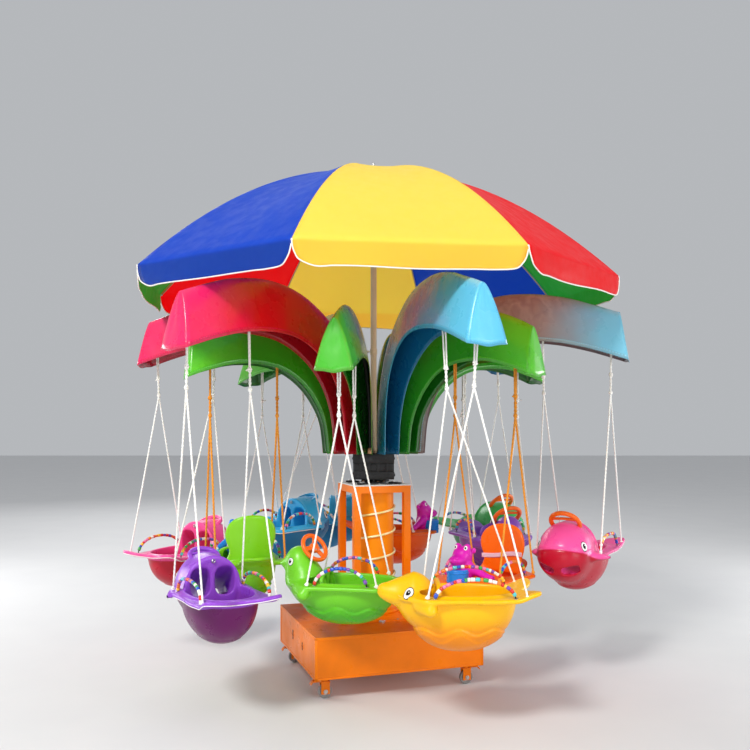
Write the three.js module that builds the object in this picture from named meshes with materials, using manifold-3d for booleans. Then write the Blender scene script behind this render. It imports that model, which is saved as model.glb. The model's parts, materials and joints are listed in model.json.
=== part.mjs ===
// Chair swing ride for small children: a wheeled machine cabinet and a tower carry a turning hub with
// twelve curved arms, each under a vinyl petal. Every arm hangs one moulded animal seat on four ropes,
// and a mast on the hub holds an eight-sided canopy.
// Millimetres, +Z up. The origin is on the turning axis at ground level, and the front is towards -Y.
import * as THREE from "three";
import { mergeVertices } from "three/addons/utils/BufferGeometryUtils.js";
import Module from "manifold-3d";

const wasm = await Module();
wasm.setup();

const GAP = 0.3; // between pieces that touch
const DEG = Math.PI / 180;

// Base: cabinet, casters and tower, all turned by the same angle about the axis.
const BASE_TURN = 18 * DEG;
const CABINET = { length: 950, width: 860, bottom: 115, top: 338, centreX: -15, centreY: -104 };
const LID = { length: 560, width: 600, thickness: 5 };
const CASTER = { wheelRadius: 38, wheelWidth: 24, axleRadius: 6, insetX: 70, insetY: 75, cheek: 4 };
const TOWER = { width: 342, post: 40, top: 1086 };
const PLATE_THICKNESS = 6;
const DRUM = { radius: 118, collarRadius: 150, collarHeight: 60, bore: 25 };
const HOSE = { radius: 6.5, pitch: 130, start: 440, turns: 4.5, stepsPerTurn: 12 };

// Rotor: hub, arms, mast and canopy.
const HUB = { size: 240, bottom: 1120, top: 1270, neckRadius: 48, shaftRadius: 24, shaftBottom: 1000 };
const ARM_COUNT = 12;
const FIRST_ARM = -10; // degrees from the front towards +X; even arms are the low ones
const ARM_RADIUS = 12;
const TUBE_PLAY = 3; // between an arm and the petal over it
const LUG_RADIUS = 6;
const MAST = { radius: 18, flangeRadius: 40, crownRadius: 40, runner: 2540, finial: 8, finialTop: 2990 };
const CANOPY = { radius: 1400, top: 2930, rim: 2260, valance: 125, sheet: 4, hole: 20, turn: 7.66 * DEG };
const RIB_SIZE = 9;
const STRETCHER_REACH = 560;

// Petals: rows of [ridge r, ridge z, hem r, hem z, half width], from the hub outwards.
const PETAL_SHEET = 4;
const SHOULDER = { width: 0.45, drop: 0.2 }; // the tent's shoulder, as shares of half width and drop
const PETAL_FOOT = HUB.top + GAP;
const HIGH_PETAL = [
  [58, PETAL_FOOT, 300, PETAL_FOOT, 42],
  [75, 1500, 318, 1460, 46],
  [140, 1720, 365, 1610, 55],
  [255, 1900, 445, 1730, 66],
  [420, 2045, 560, 1825, 78],
  [620, 2150, 700, 1888, 88],
  [850, 2190, 870, 1912, 95],
  [1080, 2172, 1060, 1902, 98],
  [1270, 2118, 1250, 1862, 100],
  [1412, 2072, 1448, 1800, 100],
];
const LOW_PETAL = [
  [58, PETAL_FOOT, 300, PETAL_FOOT, 42],
  [80, 1500, 325, 1450, 46],
  [160, 1700, 385, 1580, 56],
  [300, 1860, 470, 1680, 68],
  [470, 1975, 570, 1745, 80],
  [660, 2040, 690, 1775, 90],
  [840, 2040, 840, 1775, 95],
  [980, 1995, 990, 1738, 96],
  [1072, 1950, 1095, 1700, 96],
];

// Seats hang level. Those of the high arms are turned inwards from the direction of travel.
const HIGH_SEAT = { radius: 1175, pivot: 2030, yaw: 20 * DEG, side: 180 };
const LOW_SEAT = { radius: 775, pivot: 1900, yaw: 0, side: 190 };
const ATTACH = { front: 160, rear: -185, flukeRear: -285 };
const ROPE = { stem: 7, leg: 5, topKnot: 14, midKnot: 11, endKnot: 9, split: 415, knot: 310 };
const KNOT_TIP = 1.5;
const RIM_TOP = -(ROPE.endKnot + GAP);
const HULL = { halfLength: 262, halfWidth: 170, wall: 22, flange: 14 };
const PANEL = 20; // thickness of the leg panel and the tall back
const WHALE_ARCH = 95; // where a whale's head begins
const LEG_HOLE = 42;
const RIM_OVERLAP = 10; // how far what stands on the rim reaches into it
const TUNNEL = { spread: 58, backX: 60, backZ: 30, frontX: 420, frontZ: -50 }; // through a whale's head
const BEADS = { radius: 9, rise: 88, side: 170, front: 128, inset: 52 };

const COLOUR = {
  orange: 0xf08a00,
  black: 0x151515,
  cream: 0xd8cfb8,
  hose: 0xf4f0a8,
  red: 0xd0141e,
  blue: 0x2f9ec4,
  green: 0x1f9a1c,
  canopy: 0xffd21e,
  rope: 0xf2f0ea,
  orangeRope: 0xc9782a,
  wheel: 0x8d8d8d,
};

// Turns a three.js geometry into a solid that can be joined and cut.
function toSolid(geometry) {
  const bare = new THREE.BufferGeometry();
  bare.setAttribute("position", geometry.getAttribute("position"));
  if (geometry.index) bare.setIndex(geometry.index);
  const merged = mergeVertices(bare, 1e-3);
  const corners = merged.index.array;
  const triVerts = [];
  for (let i = 0; i < corners.length; i += 3) {
    const [a, b, c] = [corners[i], corners[i + 1], corners[i + 2]];
    if (a !== b && b !== c && c !== a) triVerts.push(a, b, c);
  }
  const vertProperties = new Float32Array(merged.attributes.position.array);
  const solid = new wasm.Manifold(
    new wasm.Mesh({ numProp: 3, vertProperties, triVerts: new Uint32Array(triVerts) }),
  );
  if (solid.volume() < 0) throw new Error("a shape faces inwards");
  return solid;
}

function toGeometry(solid) {
  const mesh = solid.getMesh();
  const geometry = new THREE.BufferGeometry();
  geometry.setAttribute("position", new THREE.BufferAttribute(new Float32Array(mesh.vertProperties), 3));
  geometry.setIndex(new THREE.BufferAttribute(new Uint32Array(mesh.triVerts), 1));
  geometry.computeVertexNormals();
  return geometry;
}

const join = (pieces) => pieces.map(toSolid).reduce((sum, piece) => sum.add(piece));
const cut = (solid, tools) => tools.map(toSolid).reduce((rest, tool) => rest.subtract(tool), solid);

const polar = (radius, z) => new THREE.Vector3(radius, 0, z);

function box(sizeX, sizeY, sizeZ, x, y, z) {
  return new THREE.BoxGeometry(sizeX, sizeY, sizeZ).translate(x, y, z);
}

function rod(start, end, radius, sides) {
  const along = new THREE.Vector3().subVectors(end, start);
  const turn = new THREE.Quaternion().setFromUnitVectors(
    new THREE.Vector3(0, 1, 0),
    along.clone().normalize(),
  );
  const middle = new THREE.Vector3().addVectors(start, end).multiplyScalar(0.5);
  return new THREE.CylinderGeometry(radius, radius, along.length(), sides)
    .applyQuaternion(turn)
    .translate(middle.x, middle.y, middle.z);
}

// An upright prism whose corners lie on the given radius.
function post(radius, bottom, top, sides) {
  return rod(new THREE.Vector3(0, 0, bottom), new THREE.Vector3(0, 0, top), radius, sides);
}

function egg(x, y, z, halfX, halfY, halfZ, around = 8, up = 5) {
  return new THREE.SphereGeometry(1, around, up)
    .rotateX(Math.PI / 2)
    .scale(halfX, halfY, halfZ)
    .translate(x, y, z);
}

// A body of revolution about Z from [radius, z] pairs.
function turned(profile, sides, start = 0) {
  const points = profile.map(([radius, z]) => new THREE.Vector2(radius, z));
  return new THREE.LatheGeometry(points, sides, start).rotateX(Math.PI / 2);
}

// Six times the volume inside closed triangles; negative where they face inwards.
function signedVolume(positions, index) {
  const corner = (i) => new THREE.Vector3().fromArray(positions, 3 * index[i]);
  let sum = 0;
  for (let i = 0; i < index.length; i += 3) sum += corner(i).dot(corner(i + 1).cross(corner(i + 2)));
  return sum;
}

// A closed solid through rings of points that all have the same count, capped at both ends.
// The rings may run either way round.
function lofted(rings) {
  const count = rings[0].length;
  const positions = rings.flat().flatMap((p) => [p.x, p.y, p.z]);
  const index = [];
  for (let ring = 0; ring + 1 < rings.length; ring++)
    for (let i = 0; i < count; i++) {
      const [a, b] = [ring * count + i, ring * count + ((i + 1) % count)];
      index.push(a, b, b + count, a, b + count, a + count);
    }
  const last = (rings.length - 1) * count;
  for (let i = 1; i + 1 < count; i++) index.push(0, i + 1, i, last, last + i, last + i + 1);
  if (signedVolume(positions, index) < 0) index.reverse();
  const geometry = new THREE.BufferGeometry();
  geometry.setAttribute("position", new THREE.Float32BufferAttribute(positions, 3));
  geometry.setIndex(index);
  return geometry;
}

// A flat plate from outline points, standing from z = 0 to its thickness.
function plate(outline, thickness) {
  const shape = new THREE.Shape(outline.map(([x, y]) => new THREE.Vector2(x, y)));
  return new THREE.ExtrudeGeometry(shape, { depth: thickness, bevelEnabled: false });
}

const ride = new THREE.Group();

function addPiece(name, geometry, colour, parent = ride, roughness = 0.45, metalness = 0) {
  const material = new THREE.MeshStandardMaterial({ color: colour, roughness, metalness });
  const mesh = new THREE.Mesh(geometry, material);
  mesh.name = name;
  parent.add(mesh);
  return mesh;
}

// Base

const base = new THREE.Group();
base.rotation.z = BASE_TURN;
ride.add(base);

const casterPlaces = [
  [-1, -1],
  [1, -1],
  [1, 1],
  [-1, 1],
].map(([sideX, sideY]) => [
  CABINET.centreX + sideX * (CABINET.length / 2 - CASTER.insetX),
  CABINET.centreY + sideY * (CABINET.width / 2 - CASTER.insetY),
  sideX,
]);

function casterFork(x, y, side) {
  const inner = CASTER.wheelWidth / 2 + 3;
  const cheekHeight = 84 - (CASTER.wheelRadius - 14);
  const cheek = (sign) =>
    box(46, CASTER.cheek, cheekHeight, x, y + sign * (inner + CASTER.cheek / 2), 84 - cheekHeight / 2);
  const crown = box(50, 2 * (inner + CASTER.cheek), 6, x, y, 87);
  const stem = rod(new THREE.Vector3(x, y, 86), new THREE.Vector3(x, y, 110), 17, 8);
  const top = box(86, 70, 8, x, y, CABINET.bottom - 3);
  const axle = rod(
    new THREE.Vector3(x, y - inner - CASTER.cheek - 3, CASTER.wheelRadius),
    new THREE.Vector3(x, y + inner + CASTER.cheek + 3, CASTER.wheelRadius),
    CASTER.axleRadius,
    8,
  );
  const brake = box(48, 34, 5, x + side * 40, y, 92.5);
  return [cheek(-1), cheek(1), crown, stem, top, axle, brake];
}

function cabinetSolid() {
  const height = CABINET.top - CABINET.bottom;
  const shell = box(
    CABINET.length,
    CABINET.width,
    height,
    CABINET.centreX,
    CABINET.centreY,
    CABINET.bottom + height / 2,
  );
  const lid = box(LID.length, LID.width, LID.thickness + 2, 0, 0, CABINET.top + LID.thickness / 2 - 1);
  return join([shell, lid, ...casterPlaces.flatMap((place) => casterFork(...place))]);
}

function casterWheel() {
  const sides = 24;
  const corner = CASTER.wheelRadius / Math.cos(Math.PI / sides);
  const half = CASTER.wheelWidth / 2;
  const bore = (CASTER.axleRadius + 0.1) / Math.cos(Math.PI / sides);
  const wheel = turned(
    [
      [bore, -half],
      [corner, -half],
      [corner, half],
      [bore, half],
      [bore, -half],
    ],
    sides,
    Math.PI / sides,
  );
  return wheel.rotateX(Math.PI / 2);
}

function towerFrame() {
  const bottom = CABINET.top + LID.thickness + GAP;
  const reach = (TOWER.width - TOWER.post) / 2;
  const height = TOWER.top - bottom;
  const posts = [-1, 1].flatMap((a) =>
    [-1, 1].map((b) =>
      box(TOWER.post, TOWER.post, height, a * reach, b * reach, bottom + height / 2),
    ),
  );
  const railZ = TOWER.top - TOWER.post / 2;
  const rails = [-1, 1].flatMap((side) => [
    box(TOWER.width, TOWER.post, TOWER.post, 0, side * reach, railZ),
    box(TOWER.post, TOWER.width, TOWER.post, side * reach, 0, railZ),
  ]);
  return join([...posts, ...rails]);
}

function bearingPlate() {
  const body = box(TOWER.width, TOWER.width, PLATE_THICKNESS, 0, 0, TOWER.top + GAP + PLATE_THICKNESS / 2);
  const hole = post(DRUM.bore / Math.cos(Math.PI / 24), TOWER.top - 10, TOWER.top + 20, 24);
  return cut(join([body]), [hole]);
}

function driveDrum() {
  const bottom = CABINET.top + LID.thickness + GAP;
  const bore = DRUM.bore / Math.cos(Math.PI / 24);
  const shell = turned(
    [
      [0, bottom],
      [DRUM.collarRadius, bottom],
      [DRUM.collarRadius, bottom + DRUM.collarHeight / 2],
      [DRUM.radius + 12, bottom + DRUM.collarHeight],
      [DRUM.radius, bottom + DRUM.collarHeight],
      [DRUM.radius, TOWER.top],
      [bore, TOWER.top],
      [bore, HUB.shaftBottom - 10],
      [0, HUB.shaftBottom - 10],
    ],
    20,
  );
  return join([shell]);
}

// A light hose wound round the drum in a climbing helix.
function lightHose() {
  const steps = Math.round(HOSE.turns * HOSE.stepsPerTurn);
  const sweep = (2 * Math.PI) / HOSE.stepsPerTurn;
  const radius = (DRUM.radius + HOSE.radius + GAP) / Math.cos(sweep / 2);
  const rings = [];
  for (let step = 0; step <= steps; step++) {
    const angle = step * sweep;
    const height = HOSE.start + (HOSE.pitch * step) / HOSE.stepsPerTurn;
    const ring = [];
    for (let i = 0; i < 6; i++) {
      const around = (Math.PI * i) / 3;
      const r = radius + HOSE.radius * Math.cos(around);
      ring.push(
        new THREE.Vector3(
          r * Math.cos(angle),
          r * Math.sin(angle),
          height + HOSE.radius * Math.sin(around),
        ),
      );
    }
    rings.push(ring);
  }
  return lofted(rings);
}

addPiece("cabinet", toGeometry(cabinetSolid()), COLOUR.orange, base);
casterPlaces.forEach(([x, y], i) => {
  const wheel = addPiece("caster_wheel_" + (i + 1), casterWheel(), COLOUR.wheel, base);
  wheel.position.set(x, y, CASTER.wheelRadius);
});
addPiece("tower_frame", toGeometry(towerFrame()), COLOUR.orange, base);
addPiece("bearing_plate", toGeometry(bearingPlate()), COLOUR.cream, base, 0.35, 0.6);
addPiece("drive_drum", toGeometry(driveDrum()), COLOUR.orange, base);
addPiece("light_hose", lightHose(), COLOUR.hose, base, 0.3);

// Rotor

const armAngles = Array.from({ length: ARM_COUNT }, (_, i) => FIRST_ARM + (360 / ARM_COUNT) * i);
const isLow = (i) => i % 2 === 0;
const petalOf = (i) => (isLow(i) ? LOW_PETAL : HIGH_PETAL);
const seatOf = (i) => (isLow(i) ? LOW_SEAT : HIGH_SEAT);
const pivotHalf = (seat) => seat.side / Math.cos(seat.yaw); // half the distance between a seat's pivots
const turnOf = (i) => (armAngles[i] - 90) * DEG; // an arm points along +X before this turn

// How far below the ridge a round tube clears the tent's two sides.
function tubeDepth([ridgeR, ridgeZ, hemR, hemZ, half]) {
  const drop = Math.hypot(hemR - ridgeR, hemZ - ridgeZ);
  const slope = (SHOULDER.width * half) / (SHOULDER.drop * drop);
  return (ARM_RADIUS + PETAL_SHEET + TUBE_PLAY) / Math.sin(Math.atan(slope));
}

// The arm's centre line: it follows the petal, starts inside the hub and ends short of the petal's end.
function armPath(rows) {
  const points = rows.map((row) => {
    const [ridgeR, ridgeZ, hemR, hemZ] = row;
    const share = tubeDepth(row) / Math.hypot(hemR - ridgeR, hemZ - ridgeZ);
    return polar(ridgeR + (hemR - ridgeR) * share, ridgeZ + (hemZ - ridgeZ) * share);
  });
  const last = points.length - 1;
  points[last].lerp(points[last - 1], 0.16);
  points.unshift(polar(points[0].x, HUB.top - 60));
  return points;
}

function armTube(rows) {
  const drops = rows.map(([ridgeR, ridgeZ, hemR, hemZ]) => polar(hemR - ridgeR, hemZ - ridgeZ).normalize());
  drops.unshift(drops[0]);
  const rings = armPath(rows).map((centre, i) => {
    const ring = [];
    for (let corner = 0; corner < 6; corner++) {
      const angle = (corner * Math.PI) / 3;
      const point = centre.clone().addScaledVector(drops[i], ARM_RADIUS * Math.cos(angle));
      ring.push(point.setY(ARM_RADIUS * Math.sin(angle)));
    }
    return ring;
  });
  return lofted(rings);
}

// Height of the arm's centre line at a radius near its outer end.
function heightOn(points, radius) {
  const next = points.findIndex((p) => p.x > radius);
  const [a, b] = [points[next - 1], points[next]];
  return a.z + ((b.z - a.z) * (radius - a.x)) / (b.x - a.x);
}

function armPieces(i) {
  const points = armPath(petalOf(i));
  const seat = seatOf(i);
  const lugs = [-1, 1].map((side) => {
    const radius = seat.radius + side * pivotHalf(seat);
    const foot = seat.pivot + ROPE.topKnot + GAP;
    return rod(polar(radius, foot), polar(radius, heightOn(points, radius)), LUG_RADIUS, 4);
  });
  return [armTube(petalOf(i)), ...lugs].map((piece) => piece.rotateZ(turnOf(i)));
}

function armFrame() {
  const height = HUB.top - HUB.bottom;
  const block = box(HUB.size, HUB.size, height, 0, 0, HUB.bottom + height / 2);
  const neck = post(HUB.neckRadius, TOWER.top + PLATE_THICKNESS + 2 * GAP, HUB.bottom + 5, 24);
  const shaft = post(HUB.shaftRadius, HUB.shaftBottom, HUB.bottom + 5, 24);
  const arms = armAngles.flatMap((_, i) => armPieces(i));
  return join([block, neck, shaft, ...arms]);
}

function petalSolid(rows) {
  const ring = ([ridgeR, ridgeZ, hemR, hemZ, half], inset, hemShare) => {
    const along = (share) => [ridgeR + (hemR - ridgeR) * share, ridgeZ + (hemZ - ridgeZ) * share];
    const drop = Math.hypot(hemR - ridgeR, hemZ - ridgeZ);
    const slope = (SHOULDER.width * half) / (SHOULDER.drop * drop);
    const crown = inset / Math.sin(Math.atan(slope)) / drop;
    const corner = (share, y) => {
      const [r, z] = along(share);
      return new THREE.Vector3(r, y, z);
    };
    return [
      corner(crown, 0),
      corner(SHOULDER.drop + crown * 0.3, inset - SHOULDER.width * half),
      corner(hemShare, inset - half),
      corner(hemShare, half - inset),
      corner(SHOULDER.drop + crown * 0.3, SHOULDER.width * half - inset),
    ];
  };
  const outer = rows.map((row) => ring(row, 0, 1));
  const inner = rows.map((row) => ring(row, PETAL_SHEET, 1.2));
  const beforeFoot = inner[0].map((p) => p.clone().add(new THREE.Vector3(0, 0, -20)));
  const [beforeEnd, end] = inner.slice(-2);
  const stopShort = 1 - PETAL_SHEET / end[2].distanceTo(beforeEnd[2]);
  inner[inner.length - 1] = end.map((p, i) => beforeEnd[i].clone().lerp(p, stopShort));
  return join([lofted(outer)]).subtract(join([lofted([beforeFoot, ...inner])]));
}

const canopyHeight = (r) =>
  CANOPY.top - (CANOPY.top - CANOPY.rim) * (r / CANOPY.radius) ** 2;
const canopyRadii = [0.16, 0.37, 0.58, 0.79, 1].map((share) => share * CANOPY.radius);
const canopyTurn = CANOPY.turn - Math.PI / 2 + Math.PI / 8; // from +X to the first corner

function canopySheet() {
  const outer = [[CANOPY.hole, canopyHeight(CANOPY.hole)], ...canopyRadii.map((r) => [r, canopyHeight(r)])];
  const bottom = CANOPY.rim - CANOPY.valance;
  const inner = [CANOPY.radius - CANOPY.sheet, ...canopyRadii.slice(0, -1).reverse(), CANOPY.hole].map(
    (r) => [r, canopyHeight(r) - CANOPY.sheet - 1],
  );
  const profile = [
    ...outer,
    [CANOPY.radius, bottom],
    [CANOPY.radius - CANOPY.sheet, bottom],
    ...inner,
    outer[0],
  ].reverse();
  return turned(profile, 8);
}

function mastSolid() {
  const top = CANOPY.top;
  const crownTop = canopyHeight(CANOPY.hole) - CANOPY.sheet - 1 - 6;
  const tube = post(MAST.radius, HUB.top + GAP, top + 12, 12);
  const flange = post(MAST.flangeRadius, HUB.top + GAP, HUB.top + 12, 12);
  const crown = post(MAST.crownRadius, crownTop - 14, crownTop, 8);
  const cap = post(30, top + GAP, top + 14, 12);
  const finial = post(MAST.finial, top + 8, MAST.finialTop, 8);
  const runner = post(MAST.crownRadius, MAST.runner - 15, MAST.runner + 15, 8);
  const ribs = [];
  for (let i = 0; i < 8; i++) {
    const stations = [30, ...canopyRadii.slice(0, -1), CANOPY.radius - CANOPY.sheet - 8];
    const rings = stations.map((r) => {
      const z = canopyHeight(r) - CANOPY.sheet - 3.5;
      const half = RIB_SIZE / 2;
      return [
        new THREE.Vector3(r, -half, z - RIB_SIZE),
        new THREE.Vector3(r, half, z - RIB_SIZE),
        new THREE.Vector3(r, half, z - 1),
        new THREE.Vector3(r, -half, z - 1),
      ];
    });
    const foot = polar(MAST.radius, MAST.runner);
    const head = polar(STRETCHER_REACH, canopyHeight(STRETCHER_REACH) - CANOPY.sheet - RIB_SIZE);
    const turn = canopyTurn + (i * Math.PI) / 4;
    ribs.push(lofted(rings).rotateZ(turn), rod(foot, head, 4, 4).rotateZ(turn));
  }
  return join([tube, flange, crown, cap, finial, runner, ...ribs]);
}

addPiece("arm_frame", toGeometry(armFrame()), COLOUR.black, ride, 0.5, 0.4);
addPiece("mast", toGeometry(mastSolid()), COLOUR.cream, ride, 0.4, 0.3);
const canopy = addPiece("canopy", canopySheet(), COLOUR.canopy, ride, 0.7);
canopy.rotation.z = canopyTurn - Math.PI / 2;

// Seats, in their own frame: +X ahead, +Y to the outside of the ride, z = 0 where the ropes hold.

const HULL_PROFILE = [
  [0, -1],
  [0.56, -0.9],
  [0.88, -0.52],
  [1, 0],
];

function hullBody(depth, inset, rise, sides = 12) {
  const profile = [...HULL_PROFILE, [1, rise], [0, rise]];
  return turned(profile, sides)
    .scale(HULL.halfLength - inset, HULL.halfWidth - inset, depth - inset)
    .translate(0, 0, RIM_TOP);
}

function mirrored(half) {
  return [...half, ...half.map(([x, y]) => [x, -y]).reverse()];
}

const FRONT_HALF = [
  [0, 192],
  [140, 204],
  [188, 194],
  [222, 140],
  [300, 84],
];

const TAIL_OUTLINE = mirrored([[-368, 30], [-315, 88], [-250, 84], [-212, 196], [-165, 204], ...FRONT_HALF]);

const FLUKE_OUTLINE = mirrored([
  [-292, 20],
  [-340, 80],
  [-358, 150],
  [-335, 194],
  [-270, 192],
  [-215, 184],
  [-150, 200],
  ...FRONT_HALF,
]);

// A flat fin on each side of the hull, swept back.
function sideFins(x, z) {
  const outline = [
    [60, 0],
    [-70, 75],
    [-60, 0],
  ];
  return [-1, 1].map((side) => {
    const fin = outline.map(([along, out]) => [along, side * out]);
    return plate(fin, 16).translate(x, side * (HULL.halfWidth - 40), z);
  });
}

// A string of beads on stiff wire, arched over each side of the rim.
function beadGuards(rear) {
  const [middle, half] = [(BEADS.front + rear + BEADS.inset) / 2, (BEADS.front - rear - BEADS.inset) / 2];
  return [-1, 1].map((side) => {
    const rings = [];
    for (let step = 0; step <= 8; step++) {
      const angle = (Math.PI * step) / 8;
      const foot = step % 8 === 0 ? -RIM_OVERLAP : 0;
      const ring = [];
      for (let corner = 0; corner < 5; corner++) {
        const around = (2 * Math.PI * corner) / 5;
        const out = 1 + (BEADS.radius * Math.cos(around)) / half;
        ring.push(
          new THREE.Vector3(
            middle + half * out * Math.cos(angle),
            side * BEADS.side + BEADS.radius * Math.sin(around),
            RIM_TOP + foot + (BEADS.rise + BEADS.radius * Math.cos(around)) * Math.sin(angle),
          ),
        );
      }
      rings.push(ring);
    }
    return lofted(rings);
  });
}

// Hull, rim and what is moulded on them, hollowed for the child as far forward as asked.
function tub({ depth, outline, rear }, moulded, wellFront = HULL.halfLength) {
  const rim = plate(outline, HULL.flange).translate(0, 0, RIM_TOP - HULL.flange);
  const back = box(HULL.halfLength + wellFront, 400, 800, (wellFront - HULL.halfLength) / 2, 0, 0);
  const well = toSolid(hullBody(depth, HULL.wall, 0.6, 8)).intersect(toSolid(back));
  return join([hullBody(depth, 0, 0), rim, ...moulded]).subtract(well).add(join(beadGuards(rear)));
}

function archPlate(half, rise, crown, thickness) {
  const arch = new THREE.Shape();
  arch.moveTo(-half, -RIM_OVERLAP);
  arch.lineTo(half, -RIM_OVERLAP);
  arch.lineTo(half, rise - crown);
  arch.absellipse(0, rise - crown, half, crown, 0, Math.PI, false);
  return new THREE.ExtrudeGeometry(arch, { depth: thickness, bevelEnabled: false, curveSegments: 6 })
    .rotateX(Math.PI / 2)
    .rotateZ(Math.PI / 2);
}

// The upright panel ahead of the child, with two openings for the legs.
function legPanel(depth, x, rise) {
  const half = 128;
  const inside = box(PANEL, 2 * HULL.halfWidth, depth, x, 0, RIM_TOP - depth / 2);
  const lower = toSolid(inside).intersect(toSolid(hullBody(depth, 2, 0)));
  const upper = archPlate(half, rise, Math.min(half * 0.8, rise * 0.9), PANEL);
  const holes = [-1, 1].map((side) =>
    rod(
      new THREE.Vector3(x - 40, side * TUNNEL.spread, RIM_TOP),
      new THREE.Vector3(x + 40, side * TUNNEL.spread, RIM_TOP),
      LEG_HOLE,
      6,
    ),
  );
  return cut(lower.add(toSolid(upper.translate(x - PANEL / 2, 0, RIM_TOP))), holes);
}

function hoop(x, z, radius, tube, tilt) {
  const ring = [];
  for (let i = 0; i <= 4; i++) {
    const angle = (Math.PI * i) / 2;
    ring.push([radius + tube * Math.cos(angle), tube * Math.sin(angle)]);
  }
  return turned(ring, 10).rotateY(tilt).translate(x, 0, z);
}

// A whale's domed head begins as an arch ahead of the child, and two tunnels for the legs go through it.
function whaleSeat(seat) {
  const arch = archPlate(128, 178, 108, PANEL).translate(WHALE_ARCH, 0, RIM_TOP);
  const head = egg(218, 0, 0, 150, 132, 172);
  const ahead = box(400, 400, 800, WHALE_ARCH + 200, 0, 0);
  const dome = toSolid(head).intersect(toSolid(ahead));
  const tunnels = [-1, 1].map((side) =>
    rod(
      new THREE.Vector3(TUNNEL.backX, side * TUNNEL.spread, TUNNEL.backZ),
      new THREE.Vector3(TUNNEL.frontX, side * TUNNEL.spread, TUNNEL.frontZ),
      LEG_HOLE,
      6,
    ),
  );
  const handle = hoop(205, 172, 58, 10, Math.PI / 2 - 0.4);
  const body = tub(seat, sideFins(70, -90), WHALE_ARCH).add(dome).add(toSolid(arch));
  return cut(body, tunnels).add(toSolid(handle));
}

function dolphinSeat(seat) {
  const head = egg(250, 0, 30, 92, 72, 78);
  const snout = egg(318, 0, -18, 56, 40, 34);
  return tub(seat, [head, snout, ...sideFins(110, -100)]).add(legPanel(seat.depth, 105, 60));
}

function birdSeat(seat) {
  const head = egg(245, 0, 60, 78, 70, 100);
  const beak = egg(318, 0, 35, 50, 26, 20);
  const wheel = hoop(165, 145, 66, 11, 0.9);
  const column = rod(new THREE.Vector3(225, 0, 90), new THREE.Vector3(165, 0, 145), 12, 6);
  const spoke = rod(new THREE.Vector3(165, -66, 145), new THREE.Vector3(165, 66, 145), 9, 4);
  return tub(seat, [head, beak])
    .add(legPanel(seat.depth, 105, 60))
    .add(join([wheel, column, spoke]));
}

function pelicanSeat(seat) {
  const head = egg(225, 0, 35, 96, 78, 88);
  const beak = egg(318, 0, 0, 56, 34, 62);
  const handle = hoop(205, 135, 58, 10, Math.PI / 2 - 0.4);
  return tub(seat, [head, beak]).add(legPanel(seat.depth, 105, 80)).add(toSolid(handle));
}

// A tub chair with a tall back and a sitting figure at its front.
function chairSeat(seat) {
  const backrest = archPlate(140, 250, 110, PANEL).translate(-215, 0, RIM_TOP);
  const body = egg(238, 0, 20, 62, 58, 82);
  const head = egg(245, 0, 115, 52, 58, 50);
  const muzzle = egg(300, 0, 90, 40, 40, 28);
  return tub(seat, [body, head, muzzle, backrest]).add(legPanel(seat.depth, 130, 50));
}

const seatModels = {
  whale: whaleSeat,
  dolphin: dolphinSeat,
  bird: birdSeat,
  pelican: pelicanSeat,
  chair: chairSeat,
};

// By arm: kind, colour, height of the points where its ropes hold, and depth of the tub.
const SEATS = [
  ["bird", 0x7ed321, 665, 205],
  ["dolphin", 0xffc800, 675, 260],
  ["chair", 0xff7a00, 645, 225],
  ["whale", 0xe0287e, 745, 225],
  ["pelican", 0x8a4fc8, 770, 225],
  ["whale", 0x2fb54a, 745, 225],
  ["chair", 0xff7a00, 735, 225],
  ["whale", 0x1593c8, 765, 215],
  ["whale", 0x1593c8, 790, 215],
  ["whale", 0xe0287e, 670, 215],
  ["chair", 0x7ed321, 705, 225],
  ["whale", 0x8a3fd0, 630, 235],
].map(([kind, colour, attach, depth], i) => {
  const fluked = !isLow(i);
  const rear = fluked ? ATTACH.flukeRear : ATTACH.rear;
  return { kind, colour, attach, depth, rear, outline: fluked ? FLUKE_OUTLINE : TAIL_OUTLINE };
});

// One rope of a pair: a doubled stem from its pivot, a knot, and two legs down to the seat's side.
function ropePair(outer, seat, { attach, rear }) {
  const height = seat.pivot - attach;
  const lean = -outer * pivotHalf(seat) * Math.sin(seat.yaw);
  const y = outer * seat.side;
  const point = (drop) => new THREE.Vector3(lean * (1 - drop / height), y, height - drop);
  const top = point(0);
  const split = point(ROPE.split);
  const knot = point(ROPE.knot);
  const ends = [ATTACH.front, rear].map((x) => new THREE.Vector3(x, y, 0));
  const above = (p, rise) => p.clone().add(new THREE.Vector3(0, 0, rise));
  const stem = [
    [above(top, ROPE.topKnot), KNOT_TIP],
    [top, ROPE.topKnot],
    [above(top, -2 * ROPE.topKnot), ROPE.stem],
    [above(knot, 2 * ROPE.midKnot), ROPE.stem],
    [knot, ROPE.midKnot],
    [above(knot, -2 * ROPE.midKnot), ROPE.stem],
    [above(split, -ROPE.stem), ROPE.stem],
  ];
  const legs = ends.map((end) => [
    [split, ROPE.leg],
    [end.clone().lerp(split, (2 * ROPE.endKnot) / split.z), ROPE.leg],
    [end, ROPE.endKnot],
    [above(end, -ROPE.endKnot), KNOT_TIP],
  ]);
  return join([stem, ...legs].map(strand));
}

// A strand with square sections through [centre, radius] pairs, from its top down.
function strand(stations) {
  const rings = stations.map(([centre, radius]) =>
    [0, 1, 2, 3].map((corner) => {
      const angle = (corner * Math.PI) / 2;
      return centre.clone().add(new THREE.Vector3(radius * Math.cos(angle), radius * Math.sin(angle), 0));
    }),
  );
  return lofted(rings);
}

const twoDigits = (n) => String(n).padStart(2, "0");

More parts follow.
